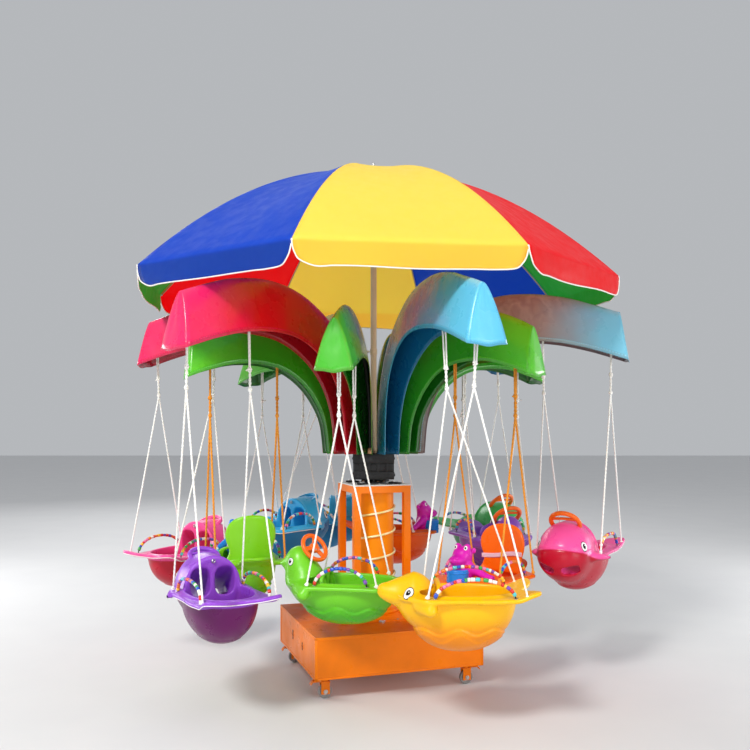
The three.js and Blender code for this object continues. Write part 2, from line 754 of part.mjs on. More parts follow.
armAngles.forEach((_, i) => {
  const arm = new THREE.Group();
  arm.rotation.z = turnOf(i);
  ride.add(arm);
  const number = twoDigits(i + 1);
  const petalColour = isLow(i) ? COLOUR.green : i === 9 || i === 11 ? COLOUR.red : COLOUR.blue;
  addPiece("petal_" + number, toGeometry(petalSolid(petalOf(i))), petalColour, arm, 0.25);

  const [seat, tubSeat] = [seatOf(i), SEATS[i]];
  const hanging = new THREE.Group();
  hanging.position.set(seat.radius, 0, tubSeat.attach);
  hanging.rotation.z = -Math.PI / 2 - seat.yaw;
  arm.add(hanging);
  const model = seatModels[tubSeat.kind](tubSeat);
  addPiece("seat_" + number, toGeometry(model), tubSeat.colour, hanging, 0.3);
  const ropeColour = i === 2 || i === 10 ? COLOUR.orangeRope : COLOUR.rope;
  addPiece("outer_ropes_" + number, toGeometry(ropePair(1, seat, tubSeat)), ropeColour, hanging, 0.8);
  addPiece("inner_ropes_" + number, toGeometry(ropePair(-1, seat, tubSeat)), ropeColour, hanging, 0.8);
});

export default ride;
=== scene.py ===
"""Looks of a children's chair swing ride: twelve moulded animal tubs on ropes under vinyl petals and an
eight-sided canopy, on a wheeled machine cabinet. Metres, +Z up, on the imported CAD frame."""
import itertools
import json
import math
import bmesh
import bpy
import numpy as np
from mathutils import Matrix, Vector


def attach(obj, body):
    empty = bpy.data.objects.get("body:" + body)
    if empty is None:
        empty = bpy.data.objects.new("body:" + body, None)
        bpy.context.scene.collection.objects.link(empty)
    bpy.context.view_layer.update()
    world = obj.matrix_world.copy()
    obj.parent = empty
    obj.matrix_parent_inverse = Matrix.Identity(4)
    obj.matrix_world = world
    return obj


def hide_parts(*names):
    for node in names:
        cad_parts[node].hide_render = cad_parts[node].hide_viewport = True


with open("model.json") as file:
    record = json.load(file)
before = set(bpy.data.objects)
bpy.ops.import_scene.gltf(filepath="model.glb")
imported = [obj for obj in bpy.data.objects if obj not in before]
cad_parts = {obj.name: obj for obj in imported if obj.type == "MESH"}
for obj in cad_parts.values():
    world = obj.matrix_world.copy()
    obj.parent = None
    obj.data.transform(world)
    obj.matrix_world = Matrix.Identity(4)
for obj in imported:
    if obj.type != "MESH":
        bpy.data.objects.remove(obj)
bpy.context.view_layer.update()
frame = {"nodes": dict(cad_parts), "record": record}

joints = {joint["name"]: joint for joint in frame["record"]["behaviour"]["joints"]}
scene = bpy.context.scene
line = np.linspace
MM = 0.001
TAU = 2 * math.pi
BOTH = (-1, 1)  # the two sides of what is mirrored


def link(name, data):
    obj = bpy.data.objects.new(name, data)
    scene.collection.objects.link(obj)
    return obj


# Camera, lights and world
camera = link("camera", bpy.data.cameras.new("camera"))
camera.location = (0, -5.153, 1.47)
camera.rotation_euler = (math.pi / 2, 0, 0)
camera.data.lens, camera.data.sensor_width = 41.73, 36
camera.data.shift_x, camera.data.shift_y = 0.0019, 0.0589
scene.camera = camera
scene.view_settings.view_transform = "Standard"

LIGHTS = {  # place, target, diameter, power and colour
    "key": ((-4.2, -8.4, 9.0), (0, 0, 1.3), 2.6, 1020, (1, 0.98, 0.94)),
    "fill": ((6.0, -7.5, 2.6), (0, 0, 1.0), 5.0, 240, (0.96, 0.98, 1)),
    "low fill": ((-0.6, -6.6, 0.7), (0, 0, 1.9), 2.6, 40, (1, 0.99, 0.97)),
    "left side": ((-5.6, 1.8, 1.5), (-0.3, 0.8, 0.9), 2.4, 105, (1, 1, 1)),
    "right side": ((5.8, 1.6, 1.5), (0.3, 0.8, 0.9), 2.4, 95, (1, 1, 1)),
    "rim": ((-4.0, 8.5, 6.0), (0, 0, 1.6), 4.0, 210, (1, 1, 1)),
}
for name, (place, target, size, power, colour) in LIGHTS.items():
    data = bpy.data.lights.new(name, "AREA")
    data.shape, data.size, data.energy, data.color = "DISK", size, power, colour
    light = link(name, data)
    light.location = place
    light.rotation_euler = (Vector(target) - Vector(place)).to_track_quat("-Z", "Y").to_euler()
world = bpy.data.worlds.new("studio")
world.use_nodes = True
world.node_tree.nodes["Background"].inputs["Color"].default_value = (0.93, 0.96, 1.0, 1)
world.node_tree.nodes["Background"].inputs["Strength"].default_value = 0.50
scene.world = world


# Materials
STITCH_PITCH, WEAVE_PITCH = 0.012, 0.0035
THIN = {"Subsurface_Radius": (1.0, 0.9, 0.8), "Subsurface_Scale": 0.004}  # light comes through a sheet


class Graph:
    """A principled material and short calls for the nodes that feed it."""

    def __init__(self, name, **looks):
        self.mat = bpy.data.materials.new(name)
        self.mat.use_nodes = True
        self.tree = self.mat.node_tree
        self.bsdf = self.tree.nodes["Principled BSDF"]
        self.set_inputs(self.bsdf, looks)

    def set_inputs(self, node, inputs):
        for key, value in inputs.items():
            self.feed(node.inputs[key.replace("_", " ")], value)

    def node(self, kind, props=(), **inputs):
        made = self.tree.nodes.new("ShaderNode" + kind)
        for key, value in dict(props).items():
            setattr(made, key, value)
        self.set_inputs(made, inputs)
        return made

    def feed(self, socket, value):
        if isinstance(value, bpy.types.NodeSocket):
            self.tree.links.new(value, socket)
        elif isinstance(value, tuple) and len(value) == 3 and socket.type == "RGBA":
            socket.default_value = (*value, 1)
        else:
            socket.default_value = value

    def coords(self):
        return self.node("TexCoord").outputs["Object"]

    def stretched(self, scale):
        return self.node("Mapping", Vector=self.coords(), Scale=scale).outputs[0]

    def noise(self, scale, detail, rough=0.55, vector=None):
        return self.node("TexNoise", Vector=vector or self.coords(), Scale=scale, Detail=detail,
                         Roughness=rough).outputs["Fac"]

    def streaked(self, x, x_scale, y, y_scale, detail):
        """Noise that is drawn out along two of the surface's own values."""
        place = self.node("CombineXYZ", X=self.times(x, x_scale), Y=self.times(y, y_scale)).outputs[0]
        return self.noise(1.0, detail, 0.5, place)

    def attribute(self, name, output="Fac"):
        return self.node("Attribute", {"attribute_name": name}).outputs[output]

    def math(self, operation, *values):
        made = self.node("Math", {"operation": operation})
        for socket, value in zip(made.inputs, values):
            self.feed(socket, value)
        return made.outputs[0]

    def times(self, a, b):
        return self.math("MULTIPLY", a, b)

    def wave(self, name, period):
        return self.math("SINE", self.times(self.attribute(name), TAU / period))

    def span(self, value, low, high, out_low=0.0, out_high=1.0):
        return self.node("MapRange", {"interpolation_type": "SMOOTHSTEP"}, Value=value, From_Min=low,
                         From_Max=high, To_Min=out_low, To_Max=out_high).outputs[0]

    def near(self, value, centre, far, close):
        """1 where the value is close to the centre, 0 where it is far."""
        return self.span(self.math("ABSOLUTE", self.math("SUBTRACT", value, centre)), far, close)

    def stitches(self, distance, row, far, low, high):
        """Dashes of thread in a row along an edge."""
        dashes = self.span(self.wave("along", STITCH_PITCH), low, high)
        return self.times(self.near(distance, row, far, 0.0012), dashes)

    def mix(self, factor, a, b, blend="MIX"):
        made = self.node("Mix", {"data_type": "RGBA", "blend_type": blend})
        for socket, value in zip((made.inputs[0], made.inputs[6], made.inputs[7]), (factor, a, b)):
            self.feed(socket, value)
        return made.outputs[2]

    def ramp(self, factor, *stops):
        made = self.node("ValToRGB", Fac=factor)
        while len(made.color_ramp.elements) < len(stops):
            made.color_ramp.elements.new(0.5)
        for element, (place, colour) in zip(made.color_ramp.elements, stops):
            element.position = place
            element.color = (*colour, 1)
        return made.outputs[0]

    def bump(self, height, strength, distance, normal=None):
        below = {} if normal is None else {"Normal": normal}
        return self.node("Bump", Height=height, Strength=strength, Distance=distance, **below).outputs[0]

    def finish(self, colour, roughness=None, normal=None):
        for key, value in (("Base Color", colour), ("Roughness", roughness), ("Normal", normal)):
            if value is not None:
                self.feed(self.bsdf.inputs[key], value)
        return self.mat


def shade(colour, factor):
    return tuple(min(1.0, c * factor) for c in colour)


def linear(display):
    """Linear colour from display values of 0 to 255."""
    return tuple(((c / 255 + 0.055) / 1.055) ** 2.4 if c > 10 else c / 255 / 12.92 for c in display)


def paint(name, display, wear=(0.35, 0.3, 0.26), roughness=0.34, dirt=0.3):
    """Sprayed enamel: slow tone changes, orange peel, scratches and grime near the ground."""
    g = Graph(name, Coat_Weight=0.02, Coat_Roughness=0.25, Specular_IOR_Level=0.2)
    colour = linear(display)
    tone = g.ramp(g.noise(3.2, 4), (0.3, shade(colour, 0.84)), (0.52, colour), (0.75, shade(colour, 1.13)))
    scratches = g.span(g.noise(9, 9, 0.72, g.stretched((1, 1.6, 7))), 0.665, 0.70)
    tone = g.mix(g.times(scratches, 0.22), tone, wear)
    height = g.node("SeparateXYZ", Vector=g.coords()).outputs[2]
    grime = g.times(g.span(height, 0.32, 0.1), g.times(g.noise(14, 6, 0.7), dirt))
    tone = g.mix(grime, tone, shade(colour, 0.35))
    peel = g.bump(scratches, 0.3, 0.0005, g.bump(g.noise(420, 2), 0.12, 0.0006))
    return g.finish(tone, g.span(g.noise(11, 5), 0.3, 0.75, roughness - 0.08, roughness + 0.14), peel)


def plastic(name, display, belly=None, roughness=0.3):
    """Rotationally moulded plastic: satin skin with fine peel, tone drift, scuffs on the underside, painted
    shade in grooves, and an underside colour that is partly painted shade.
    """
    g = Graph(name, Coat_Weight=0.08, Coat_Roughness=0.2, Specular_IOR_Level=0.34, Subsurface_Weight=0.06,
              Subsurface_Radius=(0.01, 0.006, 0.004), Subsurface_Scale=0.5)
    colour, under = linear(display), linear(belly or display)
    tone = g.mix(g.noise(4.5, 3), shade(colour, 0.9), shade(colour, 1.08))
    # the underside colour: a two-tone moulding on the whales, and on the other tubs a soft darkening toward
    # the bottom that is painted shade
    if belly:
        below = g.mix(g.noise(5.5, 3), shade(under, 0.86), shade(under, 1.1))
        tone = g.mix(g.attribute("belly"), tone, below)
    dust = g.times(g.span(g.noise(11, 5, 0.6), 0.45, 0.80), g.attribute("scuff"))
    tone = g.mix(g.times(dust, 0.20), tone, shade(under, 0.7))
    # painted shade: darker where the mesh's groove value marks a groove or recess
    tone = g.mix(g.times(g.attribute("groove"), 0.55), tone, shade(under, 0.42))
    rough = g.span(g.noise(16, 5), 0.3, 0.7, roughness - 0.05, roughness + 0.12)
    peel = g.bump(g.noise(6, 2), 0.12, 0.004, g.bump(g.noise(260, 3), 0.10, 0.0007))
    return g.finish(tone, g.math("ADD", rough, g.times(dust, 0.2)), peel)


def metal(name, colour, roughness=0.35):
    g = Graph(name, Metallic=1.0)
    tone = g.mix(g.noise(30, 6), shade(colour, 0.78), shade(colour, 1.1))
    rough = g.span(g.noise(55, 6, 0.7), 0.3, 0.7, roughness - 0.1, roughness + 0.15)
    return g.finish(tone, rough, g.bump(g.noise(300, 3), 0.12, 0.0004))


def rubber(name, colour, roughness):
    g = Graph(name, Specular_IOR_Level=0.3)
    tone = g.mix(g.noise(26, 6, 0.65), shade(colour, 0.7), shade(colour, 1.35))
    rough = g.span(g.noise(40, 4), 0.3, 0.7, roughness - 0.1, roughness + 0.1)
    return g.finish(tone, rough, g.bump(g.noise(180, 4), 0.3, 0.0006))


def rope_fibre(name, display, worn_and_shaded):
    """Laid rope: oblique strands round the line, fibres, handling dirt, and painted shade in the grooves
    between strands.
    """
    g = Graph(name, Specular_IOR_Level=0.2)
    colour, dirt = linear(display), linear(worn_and_shaded)
    lay = g.attribute("lay")
    tone = g.mix(g.noise(22, 6, 0.7), dirt, colour)
    tone = g.mix(g.span(g.noise(5, 3), 0.35, 0.62), tone, colour)
    # painted shade: darker where the lay dips, in the grooves between the strands
    tone = g.mix(g.times(g.span(lay, -0.1, -0.9), 0.6), tone, shade(dirt, 0.6))
    height = g.math("ADD", g.times(lay, 0.6), g.times(g.noise(900, 2), 0.3))
    return g.finish(tone, g.span(g.noise(60, 3), 0.3, 0.7, 0.72, 0.92), g.bump(height, 0.7, 0.0012))


def cloth(name, display, roughness=0.55, light=1.0, painted_glow=0.0):
    """Coated canopy cloth: plain weave, soft tone bands, seams and hem stitching, painted shade on the
    valance, and painted light on the linings.
    """
    # on the linings, light brightens the colour and the emission makes the cloth glow faintly: painted light
    # coming through it
    base = shade(linear(display), light)
    g = Graph(name, Specular_IOR_Level=0.16, Subsurface_Weight=0.8, **THIN, Sheen_Weight=0.02,
              Sheen_Roughness=0.4, Emission_Color=base, Emission_Strength=painted_glow)
    tone = g.mix(g.noise(2.2, 4), shade(base, 0.93), shade(base, 1.05))
    tone = g.mix(g.times(g.noise(60, 8, 0.75), 0.12), tone, shade(base, 0.8))
    # painted shade: the valance below the rim fold is multiplied darker and more orange
    tone = g.mix(g.span(g.attribute("along"), 1.612, 1.640), tone, (0.97, 0.84, 0.70), "MULTIPLY")
    weave = g.times(g.wave("across", WEAVE_PITCH), g.wave("along", WEAVE_PITCH))
    seam = g.span(g.attribute("seam"), 0.016, 0.010)
    stitch = g.stitches(g.attribute("seam"), 0.008, 0.0022, -0.2, 0.2)
    tone = g.mix(g.times(seam, 0.22), tone, shade(base, 0.62))
    tone = g.mix(g.times(stitch, 0.7), tone, shade(base, 1.35))
    fold = g.streaked(g.attribute("across"), 9.0, g.attribute("along"), 1.8, 3)
    normal = g.bump(seam, 0.5, 0.0012, g.bump(weave, 0.10, 0.0005))
    normal = g.bump(fold, 0.25, 0.012, g.bump(stitch, 0.5, 0.0008, normal))
    return g.finish(tone, g.span(g.noise(14, 4), 0.3, 0.7, roughness - 0.08, roughness + 0.1), normal)


def vinyl(name, displays, streaks=(), ridge=None, inside=None, ridge_highlight_share=0.35):
    """Glossy vinyl petal: its colour runs from the hub to the tip, with a painted highlight along the ridge,
    creases and hems.
    """
    g = Graph(name, Coat_Weight=0.38, Coat_Roughness=0.12, Specular_IOR_Level=0.42,
              Subsurface_Weight=0.35, **THIN)
    foot, body, tip = (linear(display) for display in displays)
    run, edge = g.attribute("run"), g.attribute("edge")
    wobble = g.math("ADD", run, g.times(g.math("SUBTRACT", g.noise(3.2, 3), 0.5), 0.22))
    tone = g.ramp(wobble, (0.0, foot), (0.42, body), (0.72, body), (0.93, tip))
    if inside:
        tone = g.mix(0.82, tone, linear(inside))
    if streaks:
        lines = g.streaked(run, 16.0, g.attribute("flank"), 2.2, 2)
        colours = [linear(display) for display in streaks] + [body]
        band = g.times(g.near(run, 0.66, 0.22, 0.06), 0.45)
        tone = g.mix(g.times(band, g.span(g.attribute("flank"), 0.95, 0.35)), tone,
                     g.ramp(lines, *zip((0.36, 0.45, 0.55, 0.66), colours)))
    # painted highlight: the ridge colour laid along the top of the ridge
    if ridge:
        top = g.times(g.span(g.attribute("flank"), 0.34, 0.08), g.span(g.noise(3, 1), 0.2, 0.7))
        tone = g.mix(g.times(top, ridge_highlight_share), tone, linear(ridge))
    hem = g.span(edge, 0.017, 0.013)
    tone = g.mix(g.times(hem, 0.25), tone, shade(body, 0.55))
    tone = g.mix(g.times(g.stitches(edge, 0.011, 0.0024, -0.1, 0.3), 0.6), tone, shade(tip, 1.3))
    grain = g.bump(g.noise(500, 2), 0.06, 0.0005)
    creases = g.bump(g.noise(4.5, 3, 0.5, g.stretched((1, 1, 2.4))), 0.26, 0.008, grain)
    return g.finish(tone, g.span(g.noise(8, 3), 0.3, 0.72, 0.22, 0.38), g.bump(hem, 0.5, 0.001, creases))


def tinted(name, roughness):
    """Plastic that takes its colour from the mesh."""
    g = Graph(name, Coat_Weight=0.3, Coat_Roughness=0.1)
    tone = g.mix(g.times(g.noise(90, 4), 0.4), g.attribute("tint", "Color"), (0.02, 0.02, 0.02), "SOFT_LIGHT")
    rough = g.span(g.noise(60, 3), 0.3, 0.7, roughness - 0.06, roughness + 0.12)
    return g.finish(tone, rough, g.bump(g.noise(200, 2), 0.15, 0.0006))


MAT = {
    "orange": paint("orange_enamel", (247, 126, 0)),
    "drum": paint("drum_enamel", (250, 146, 0), roughness=0.44, dirt=0.15),
    "black": rubber("black_coating", (0.012, 0.012, 0.013), 0.42),
    "cream": paint("mast_enamel", (206, 190, 156), wear=(0.4, 0.36, 0.3), roughness=0.42),
    "steel": metal("zinc_steel", (0.62, 0.62, 0.6)),
    "copper": metal("bare_sockets", (0.5, 0.27, 0.15), 0.4),
    "plate": paint("plate_enamel", (222, 222, 218), wear=(0.05, 0.05, 0.05), roughness=0.4),
    "hose": tinted("hose_skin", 0.28),
    "wheel": rubber("grey_tyre", linear((132, 130, 128)), 0.6),
    "piping": cloth("white_piping", (246, 243, 236), 0.6),
    "white_rope": rope_fibre("white_rope", (253, 252, 248), (234, 228, 214)),
    "orange_rope": rope_fibre("orange_rope", (238, 158, 56), (206, 122, 34)),
    "beads": tinted("bead_plastic", 0.3),
    "hoop": plastic("orange_hoop", (248, 108, 20)),
    "eye_white": plastic("eye_white", (244, 244, 240), roughness=0.22),
    "eye_black": plastic("eye_black", (14, 14, 16), roughness=0.18),
    "beak": plastic("beak_yellow", (250, 184, 8)),
    "figure": plastic("figure_magenta", (214, 24, 178)),
    "drum_blue": plastic("drum_blue", (32, 130, 222)),
    "edging": plastic("white_edging", (244, 238, 236)),
    "strap": cloth("pale_strap", (232, 196, 214), 0.6),
}
CANOPY_COLOURS = {"yellow": (255, 203, 78), "blue": (12, 62, 178), "green": (34, 148, 44),
                  "red": (230, 4, 16)}
for key, display in CANOPY_COLOURS.items():
    MAT["canopy_" + key] = cloth("canopy_" + key, display)
    # the linings are a brighter copy that glows faintly: painted light through the cloth
    MAT["lining_" + key] = cloth("lining_" + key, display, 0.65, 1.12, 0.30)
# A ridge colour is a painted highlight along the top of a petal's ridge.
PETAL_LOOKS = {  # colours of the foot, the middle and the tip, then what varies
    "green": (((30, 128, 22), (48, 154, 20), (92, 202, 40)), {"ridge": (196, 210, 50), "ridge_highlight_share": 0.5}),
    # the _in looks are darker copies for a petal's underside: painted shade
    "green_in": (((12, 92, 12), (16, 110, 12), (40, 150, 30)), {"inside": (14, 96, 14)}),
    # the front green petal: its golden middle, olive streaks and olive ridge are painted reflection
    "green_front_painted_reflection": (((40, 124, 26), (146, 156, 46), (74, 184, 46)),
                    {"streaks": ((150, 140, 60), (96, 150, 40), (170, 160, 90)), "ridge": (176, 150, 62),
                     "ridge_highlight_share": 0.6}),
    "red": (((196, 12, 36), (222, 16, 26), (236, 34, 100)), {"ridge": (240, 84, 110)}),
    "red_in": (((150, 8, 26), (176, 10, 22), (190, 20, 60)), {"inside": (158, 8, 24)}),
    "blue": (((34, 138, 176), (62, 164, 204), (98, 194, 230)),
             {"streaks": ((204, 206, 186), (128, 190, 200), (176, 180, 158)), "ridge": (158, 200, 188)}),
    "blue_in": (((14, 104, 150), (18, 112, 156), (40, 136, 180)), {"inside": (16, 104, 150)}),
    "grey": (((116, 108, 106), (158, 146, 140), (124, 198, 222)),
             {"streaks": ((180, 164, 150), (152, 140, 134), (206, 196, 186)), "ridge": (192, 180, 168)}),
    "grey_in": (((90, 74, 72), (110, 88, 84), (84, 140, 160)), {"inside": (104, 84, 82)}),
}
for key, (displays, extras) in PETAL_LOOKS.items():
    MAT["petal_" + key] = vinyl("petal_" + key, displays, **extras)
SKINS = {  # colours of a seat's top and underside; below the whales' mouth line this is two-tone, on the other tubs the darker underside is painted shade
    "bird": ((116, 206, 38), (72, 178, 26)), "dolphin": ((255, 190, 6), (238, 138, 0)),
    "chair": ((252, 106, 4), (236, 84, 2)), "pink": ((246, 84, 158), (186, 0, 40)),
    "pelican": ((134, 78, 190), (92, 38, 140)), "greenwhale": ((62, 190, 90), (16, 138, 60)),
    "teal": ((52, 180, 236), (10, 124, 182)), "violet": ((150, 74, 208), (102, 3, 90)),
    "limechair": ((134, 212, 28), (84, 184, 20)),
}
for key, displays in SKINS.items():
    MAT["seat_" + key] = plastic("skin_" + key, *displays)
BEAD_COLOURS = [linear(display) for display in (
    (226, 52, 40), (250, 206, 62), (64, 176, 88), (92, 208, 214), (244, 240, 232), (44, 92, 208),
    (136, 82, 190), (244, 140, 44), (240, 130, 176))]


# Meshes and parts; a part is its vertices, its faces and, where it has any, its vertex values
class Shape:
    """Collects parts of one mesh, with a material slot for each."""

    def __init__(self):
        self.verts, self.faces, self.slots, self.values = [], [], [], []
        self.count = 0

    def add(self, part, slot=0, *steps, **values):
        """Adds a part after it is moved step by step, with values that hold all over it."""
        verts, faces, *own = moved(part, *steps)
        for faces_block in faces:
            if len(faces_block):
                self.faces.append(np.asarray(faces_block, int) + self.count)
                self.slots.append(np.full(len(faces_block), slot))
        self.verts.append(verts)
        self.values.append((len(verts), {**(own[0] if own else {}), **values}))
        self.count += len(verts)
        return self

    def mesh(self, name):
        merged = {}
        for key in sorted({key for _, values in self.values for key in values}):
            found = [(count, np.asarray(values.get(key, 0.0), float)) for count, values in self.values]
            width = max((value.shape[1:] for _, value in found), key=len)
            merged[key] = np.concatenate([np.broadcast_to(value, (count, *width)) for count, value in found])
        return raw_mesh(name, np.concatenate(self.verts), self.faces, np.concatenate(self.slots), merged)


def raw_mesh(name, verts, blocks, slots, values):
    mesh = bpy.data.meshes.new(name)
    mesh.vertices.add(len(verts))
    mesh.vertices.foreach_set("co", np.asarray(verts, np.float32).ravel())
    loops = np.concatenate([b.ravel() for b in blocks]).astype(np.int32)
    sizes = np.concatenate([np.full(len(b), b.shape[1]) for b in blocks])
    mesh.loops.add(len(loops))
    mesh.loops.foreach_set("vertex_index", loops)
    mesh.polygons.add(len(sizes))
    mesh.polygons.foreach_set("loop_start", np.concatenate([[0], np.cumsum(sizes)[:-1]]).astype(np.int32))
    mesh.polygons.foreach_set("material_index", np.asarray(slots, np.int32))
    mesh.polygons.foreach_set("use_smooth", np.ones(len(sizes), bool))
    mesh.update(calc_edges=True)
    for key, value in values.items():
        if value.ndim == 2:
            colours = np.hstack([value, np.ones((len(value), 1))]).astype(np.float32)
            mesh.attributes.new(key, "FLOAT_COLOR", "POINT").data.foreach_set("color", colours.ravel())
        else:
            set_value(mesh, key, value)
    return mesh


def set_value(mesh, key, value):
    mesh.attributes.new(key, "FLOAT", "POINT").data.foreach_set("value", np.asarray(value, np.float32))


def piece(name, mesh, body, materials, slot=None, replaces=(), matrix=None, sharp=None):
    """A visible piece that rides on a body, from a mesh or a Shape."""
    if isinstance(mesh, Shape):
        mesh = mesh.mesh(name)
    obj = link(name, mesh)
    if matrix is not None:
        obj.matrix_world = matrix
    for material in materials:
        mesh.materials.append(MAT[material])
    if sharp:
        mesh.set_sharp_from_angle(angle=math.radians(sharp))
    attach(obj, body)
    for node in replaces:
        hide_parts(node)
    return obj


def moved(part, *steps):
    """The part after each step in turn: a matrix, or an offset."""
    verts = np.asarray(part[0], float)
    for step in steps:
        if isinstance(step, Matrix):
            m = np.array(step)
            verts = verts @ m[:3, :3].T + m[:3, 3]
        else:
            verts = verts + step
    return verts, *part[1:]


def turn_z(angle):
    return Matrix.Rotation(angle, 4, "Z")


def around(radius, degrees, z):
    """A place on a circle about Z."""
    return radius * math.cos(math.radians(degrees)), radius * math.sin(math.radians(degrees)), z


def toward(direction, place=(0, 0, 0)):
    """A matrix that turns +Z to the direction and moves to the place."""
    return Matrix.Translation(Vector(place)) @ Vector(direction).to_track_quat("Z", "Y").to_matrix().to_4x4()


def grid_faces(rows, columns, wrap=False):
    """Quads over a grid of vertices that is rows long; wrap joins the last column to the first."""
    i, j = np.meshgrid(np.arange(rows - 1), np.arange(columns if wrap else columns - 1), indexing="ij")
    a, b = i * columns + j, i * columns + (j + 1) % columns
    return np.stack([a, b, b + columns, a + columns], -1).reshape(-1, 4)


def sheet_part(grid, **values):
    """A part from a grid of points, with values at each of them."""
    rows = grid.shape[:2]
    values = {key: np.broadcast_to(value, rows).ravel() for key, value in values.items()}
    return grid.reshape(-1, 3), [grid_faces(*rows)], values


def travelled(path):
    """The way along the path up to each of its points."""
    return np.concatenate([[0], np.cumsum(np.linalg.norm(np.diff(path, axis=0), axis=1))])


LAY_PITCH = 0.022  # how far a strand runs along its rope in one turn


def tube(path, radius, sides=10, closed=False, lobes=0, lobe_depth=0.12):
    """A round tube along points, or one with lobes that turn round the line like a laid rope."""
    path = np.asarray(path, float)
    n = len(path)
    along = np.roll(path, -1, 0) - np.roll(path, 1, 0) if closed else np.gradient(path, axis=0)
    along /= np.linalg.norm(along, axis=1, keepdims=True) + 1e-12
    side = np.cross(along[0], (0, 0, 1) if abs(along[0][2]) < 0.9 else (1, 0, 0))
    frames = []
    for t in along:
        side = side - t * (side @ t)
        side = side / np.linalg.norm(side)
        frames.append(side)
    u = np.array(frames)
    v = np.cross(along, u)
    length = travelled(path)
    angle = TAU * np.arange(sides) / sides
    lay = np.cos(lobes * angle[None] - TAU * length[:, None] / LAY_PITCH) * (lobes > 0)
    r = np.broadcast_to(np.asarray(radius, float), (n,))[:, None] * (1 + lobe_depth * lay)
    verts = path[:, None] + r[..., None] * (np.cos(angle)[None, :, None] * u[:, None]
                                            + np.sin(angle)[None, :, None] * v[:, None])
    verts = verts.reshape(-1, 3)
    values = {"along": np.repeat(length, sides), "lay": lay.ravel()}
    faces = [grid_faces(n, sides, True)]
    ring, following, end = np.arange(sides), (np.arange(sides) + 1) % sides, (n - 1) * sides
    if closed:
        faces.append(np.stack([end + ring, end + following, following, ring], -1))
    else:
        verts = np.vstack([verts, path[:1], path[-1:]])
        values = {key: np.append(value, [0, length[-1]]) for key, value in values.items()}
        faces.append(np.stack([following, ring, np.full(sides, n * sides)], -1))
        faces.append(np.stack([end + ring, end + following, np.full(sides, n * sides + 1)], -1))
    return verts, faces, values


def spline(points, count):
    """Evenly spaced points on a Catmull-Rom curve through rows of numbers of any width."""
    p = np.asarray(points, float)
    p = np.vstack([2 * p[0] - p[1], p, 2 * p[-1] - p[-2]])
    dense = []
    for i in range(1, len(p) - 2):
        t = line(0, 1, 24, endpoint=False)[:, None]
        a, b, c, d = p[i - 1:i + 3]
        dense.append(0.5 * (2 * b + (c - a) * t + (2 * a - 5 * b + 4 * c - d) * t**2
                            + (3 * b - a - 3 * c + d) * t**3))
    dense = np.vstack([*dense, p[-2:-1]])
    step = travelled(dense)
    return np.stack([np.interp(line(0, step[-1], count), step, column) for column in dense.T], -1)


def lathe(profile, sides=48):
    """A body of revolution about Z from [radius, z] rows; rows with radius 0 close it."""
    angle = TAU * np.arange(sides) / sides
    ring = np.stack([np.cos(angle), np.sin(angle)], -1)
    verts = np.concatenate([np.hstack([r * ring, np.full((sides, 1), z)]) for r, z in profile])
    return verts, [grid_faces(len(profile), sides, True)[:, ::-1]]


def rounded(profile, radius, steps):
    """The profile with its corners cut round."""
    p = np.asarray(profile, float)
    out = [p[0]]
    for a, b, c in zip(p[:-2], p[1:-1], p[2:]):
        back, ahead = np.linalg.norm(a - b), np.linalg.norm(c - b)
        reach = min(radius, 0.45 * back, 0.45 * ahead)
        start = b + (a - b) / (back + 1e-12) * reach
        end = b + (c - b) / (ahead + 1e-12) * reach
        out += [(1 - t) ** 2 * start + 2 * t * (1 - t) * b + t * t * end for t in line(0, 1, steps + 1)]
    return np.array([*out, p[-1]])


def turned(profile, radius, steps=3, sides=48):
    return lathe(rounded(profile, radius, steps), sides)


def disc_profile(radius, low, high, bore=0.0):
    return [(bore, low), (radius, low), (radius, high), (bore, high)]


def from_bmesh(bm):
    bm.verts.index_update()
    verts = np.array([v.co[:] for v in bm.verts])
    polygons = [[v.index for v in f.verts] for f in bm.faces]
    quads = [ids for ids in polygons if len(ids) == 4]
    tris = [[ids[0], ids[k], ids[k + 1]] for ids in polygons if len(ids) != 4 for k in range(1, len(ids) - 1)]
    bm.free()
    return verts, [np.array(quads, int).reshape(-1, 4), np.array(tris, int).reshape(-1, 3)]


def block(size, centre=(0, 0, 0), bevel=0.003, segments=2):
    """A box with rounded edges."""
    bm = bmesh.new()
    bmesh.ops.create_cube(bm, size=1)
    bmesh.ops.scale(bm, vec=size, verts=bm.verts)
    bmesh.ops.bevel(bm, geom=bm.edges[:], offset=min(bevel, 0.45 * min(size)), segments=segments,
                    affect="EDGES", profile=0.5)
    bmesh.ops.translate(bm, vec=centre, verts=bm.verts)
    return from_bmesh(bm)


def bolt(radius):
    """A hexagon head on a washer, standing on z = 0."""
    height = 0.6 * radius
    bm = bmesh.new()
    bmesh.ops.create_cone(bm, cap_ends=True, segments=6, radius1=radius, radius2=radius, depth=height)
    bmesh.ops.bevel(bm, geom=bm.edges[:], offset=radius * 0.1, segments=1, affect="EDGES")
    bmesh.ops.translate(bm, vec=(0, 0, height / 2 + 0.2 * radius), verts=bm.verts)
    head = from_bmesh(bm)
    washer = turned(disc_profile(1.45 * radius, 0, 0.22 * radius), 0.06 * radius, 1, 20)
    return np.vstack([head[0], washer[0]]), [*head[1], washer[1][0] + len(head[0])]


def ball(centre, radii, rings=10):
    t = line(0, math.pi, rings + 1)
    verts, faces = lathe(np.stack([np.sin(t), -np.cos(t)], -1), 16)
    return verts * radii + centre, faces


def ring_path(radius, count):
    a = TAU * np.arange(count) / count
    return np.stack([radius * np.cos(a), radius * np.sin(a), 0 * a], -1)


def torus(radius, thickness, count, sides=8):
    return tube(ring_path(radius, count), thickness, sides, closed=True)


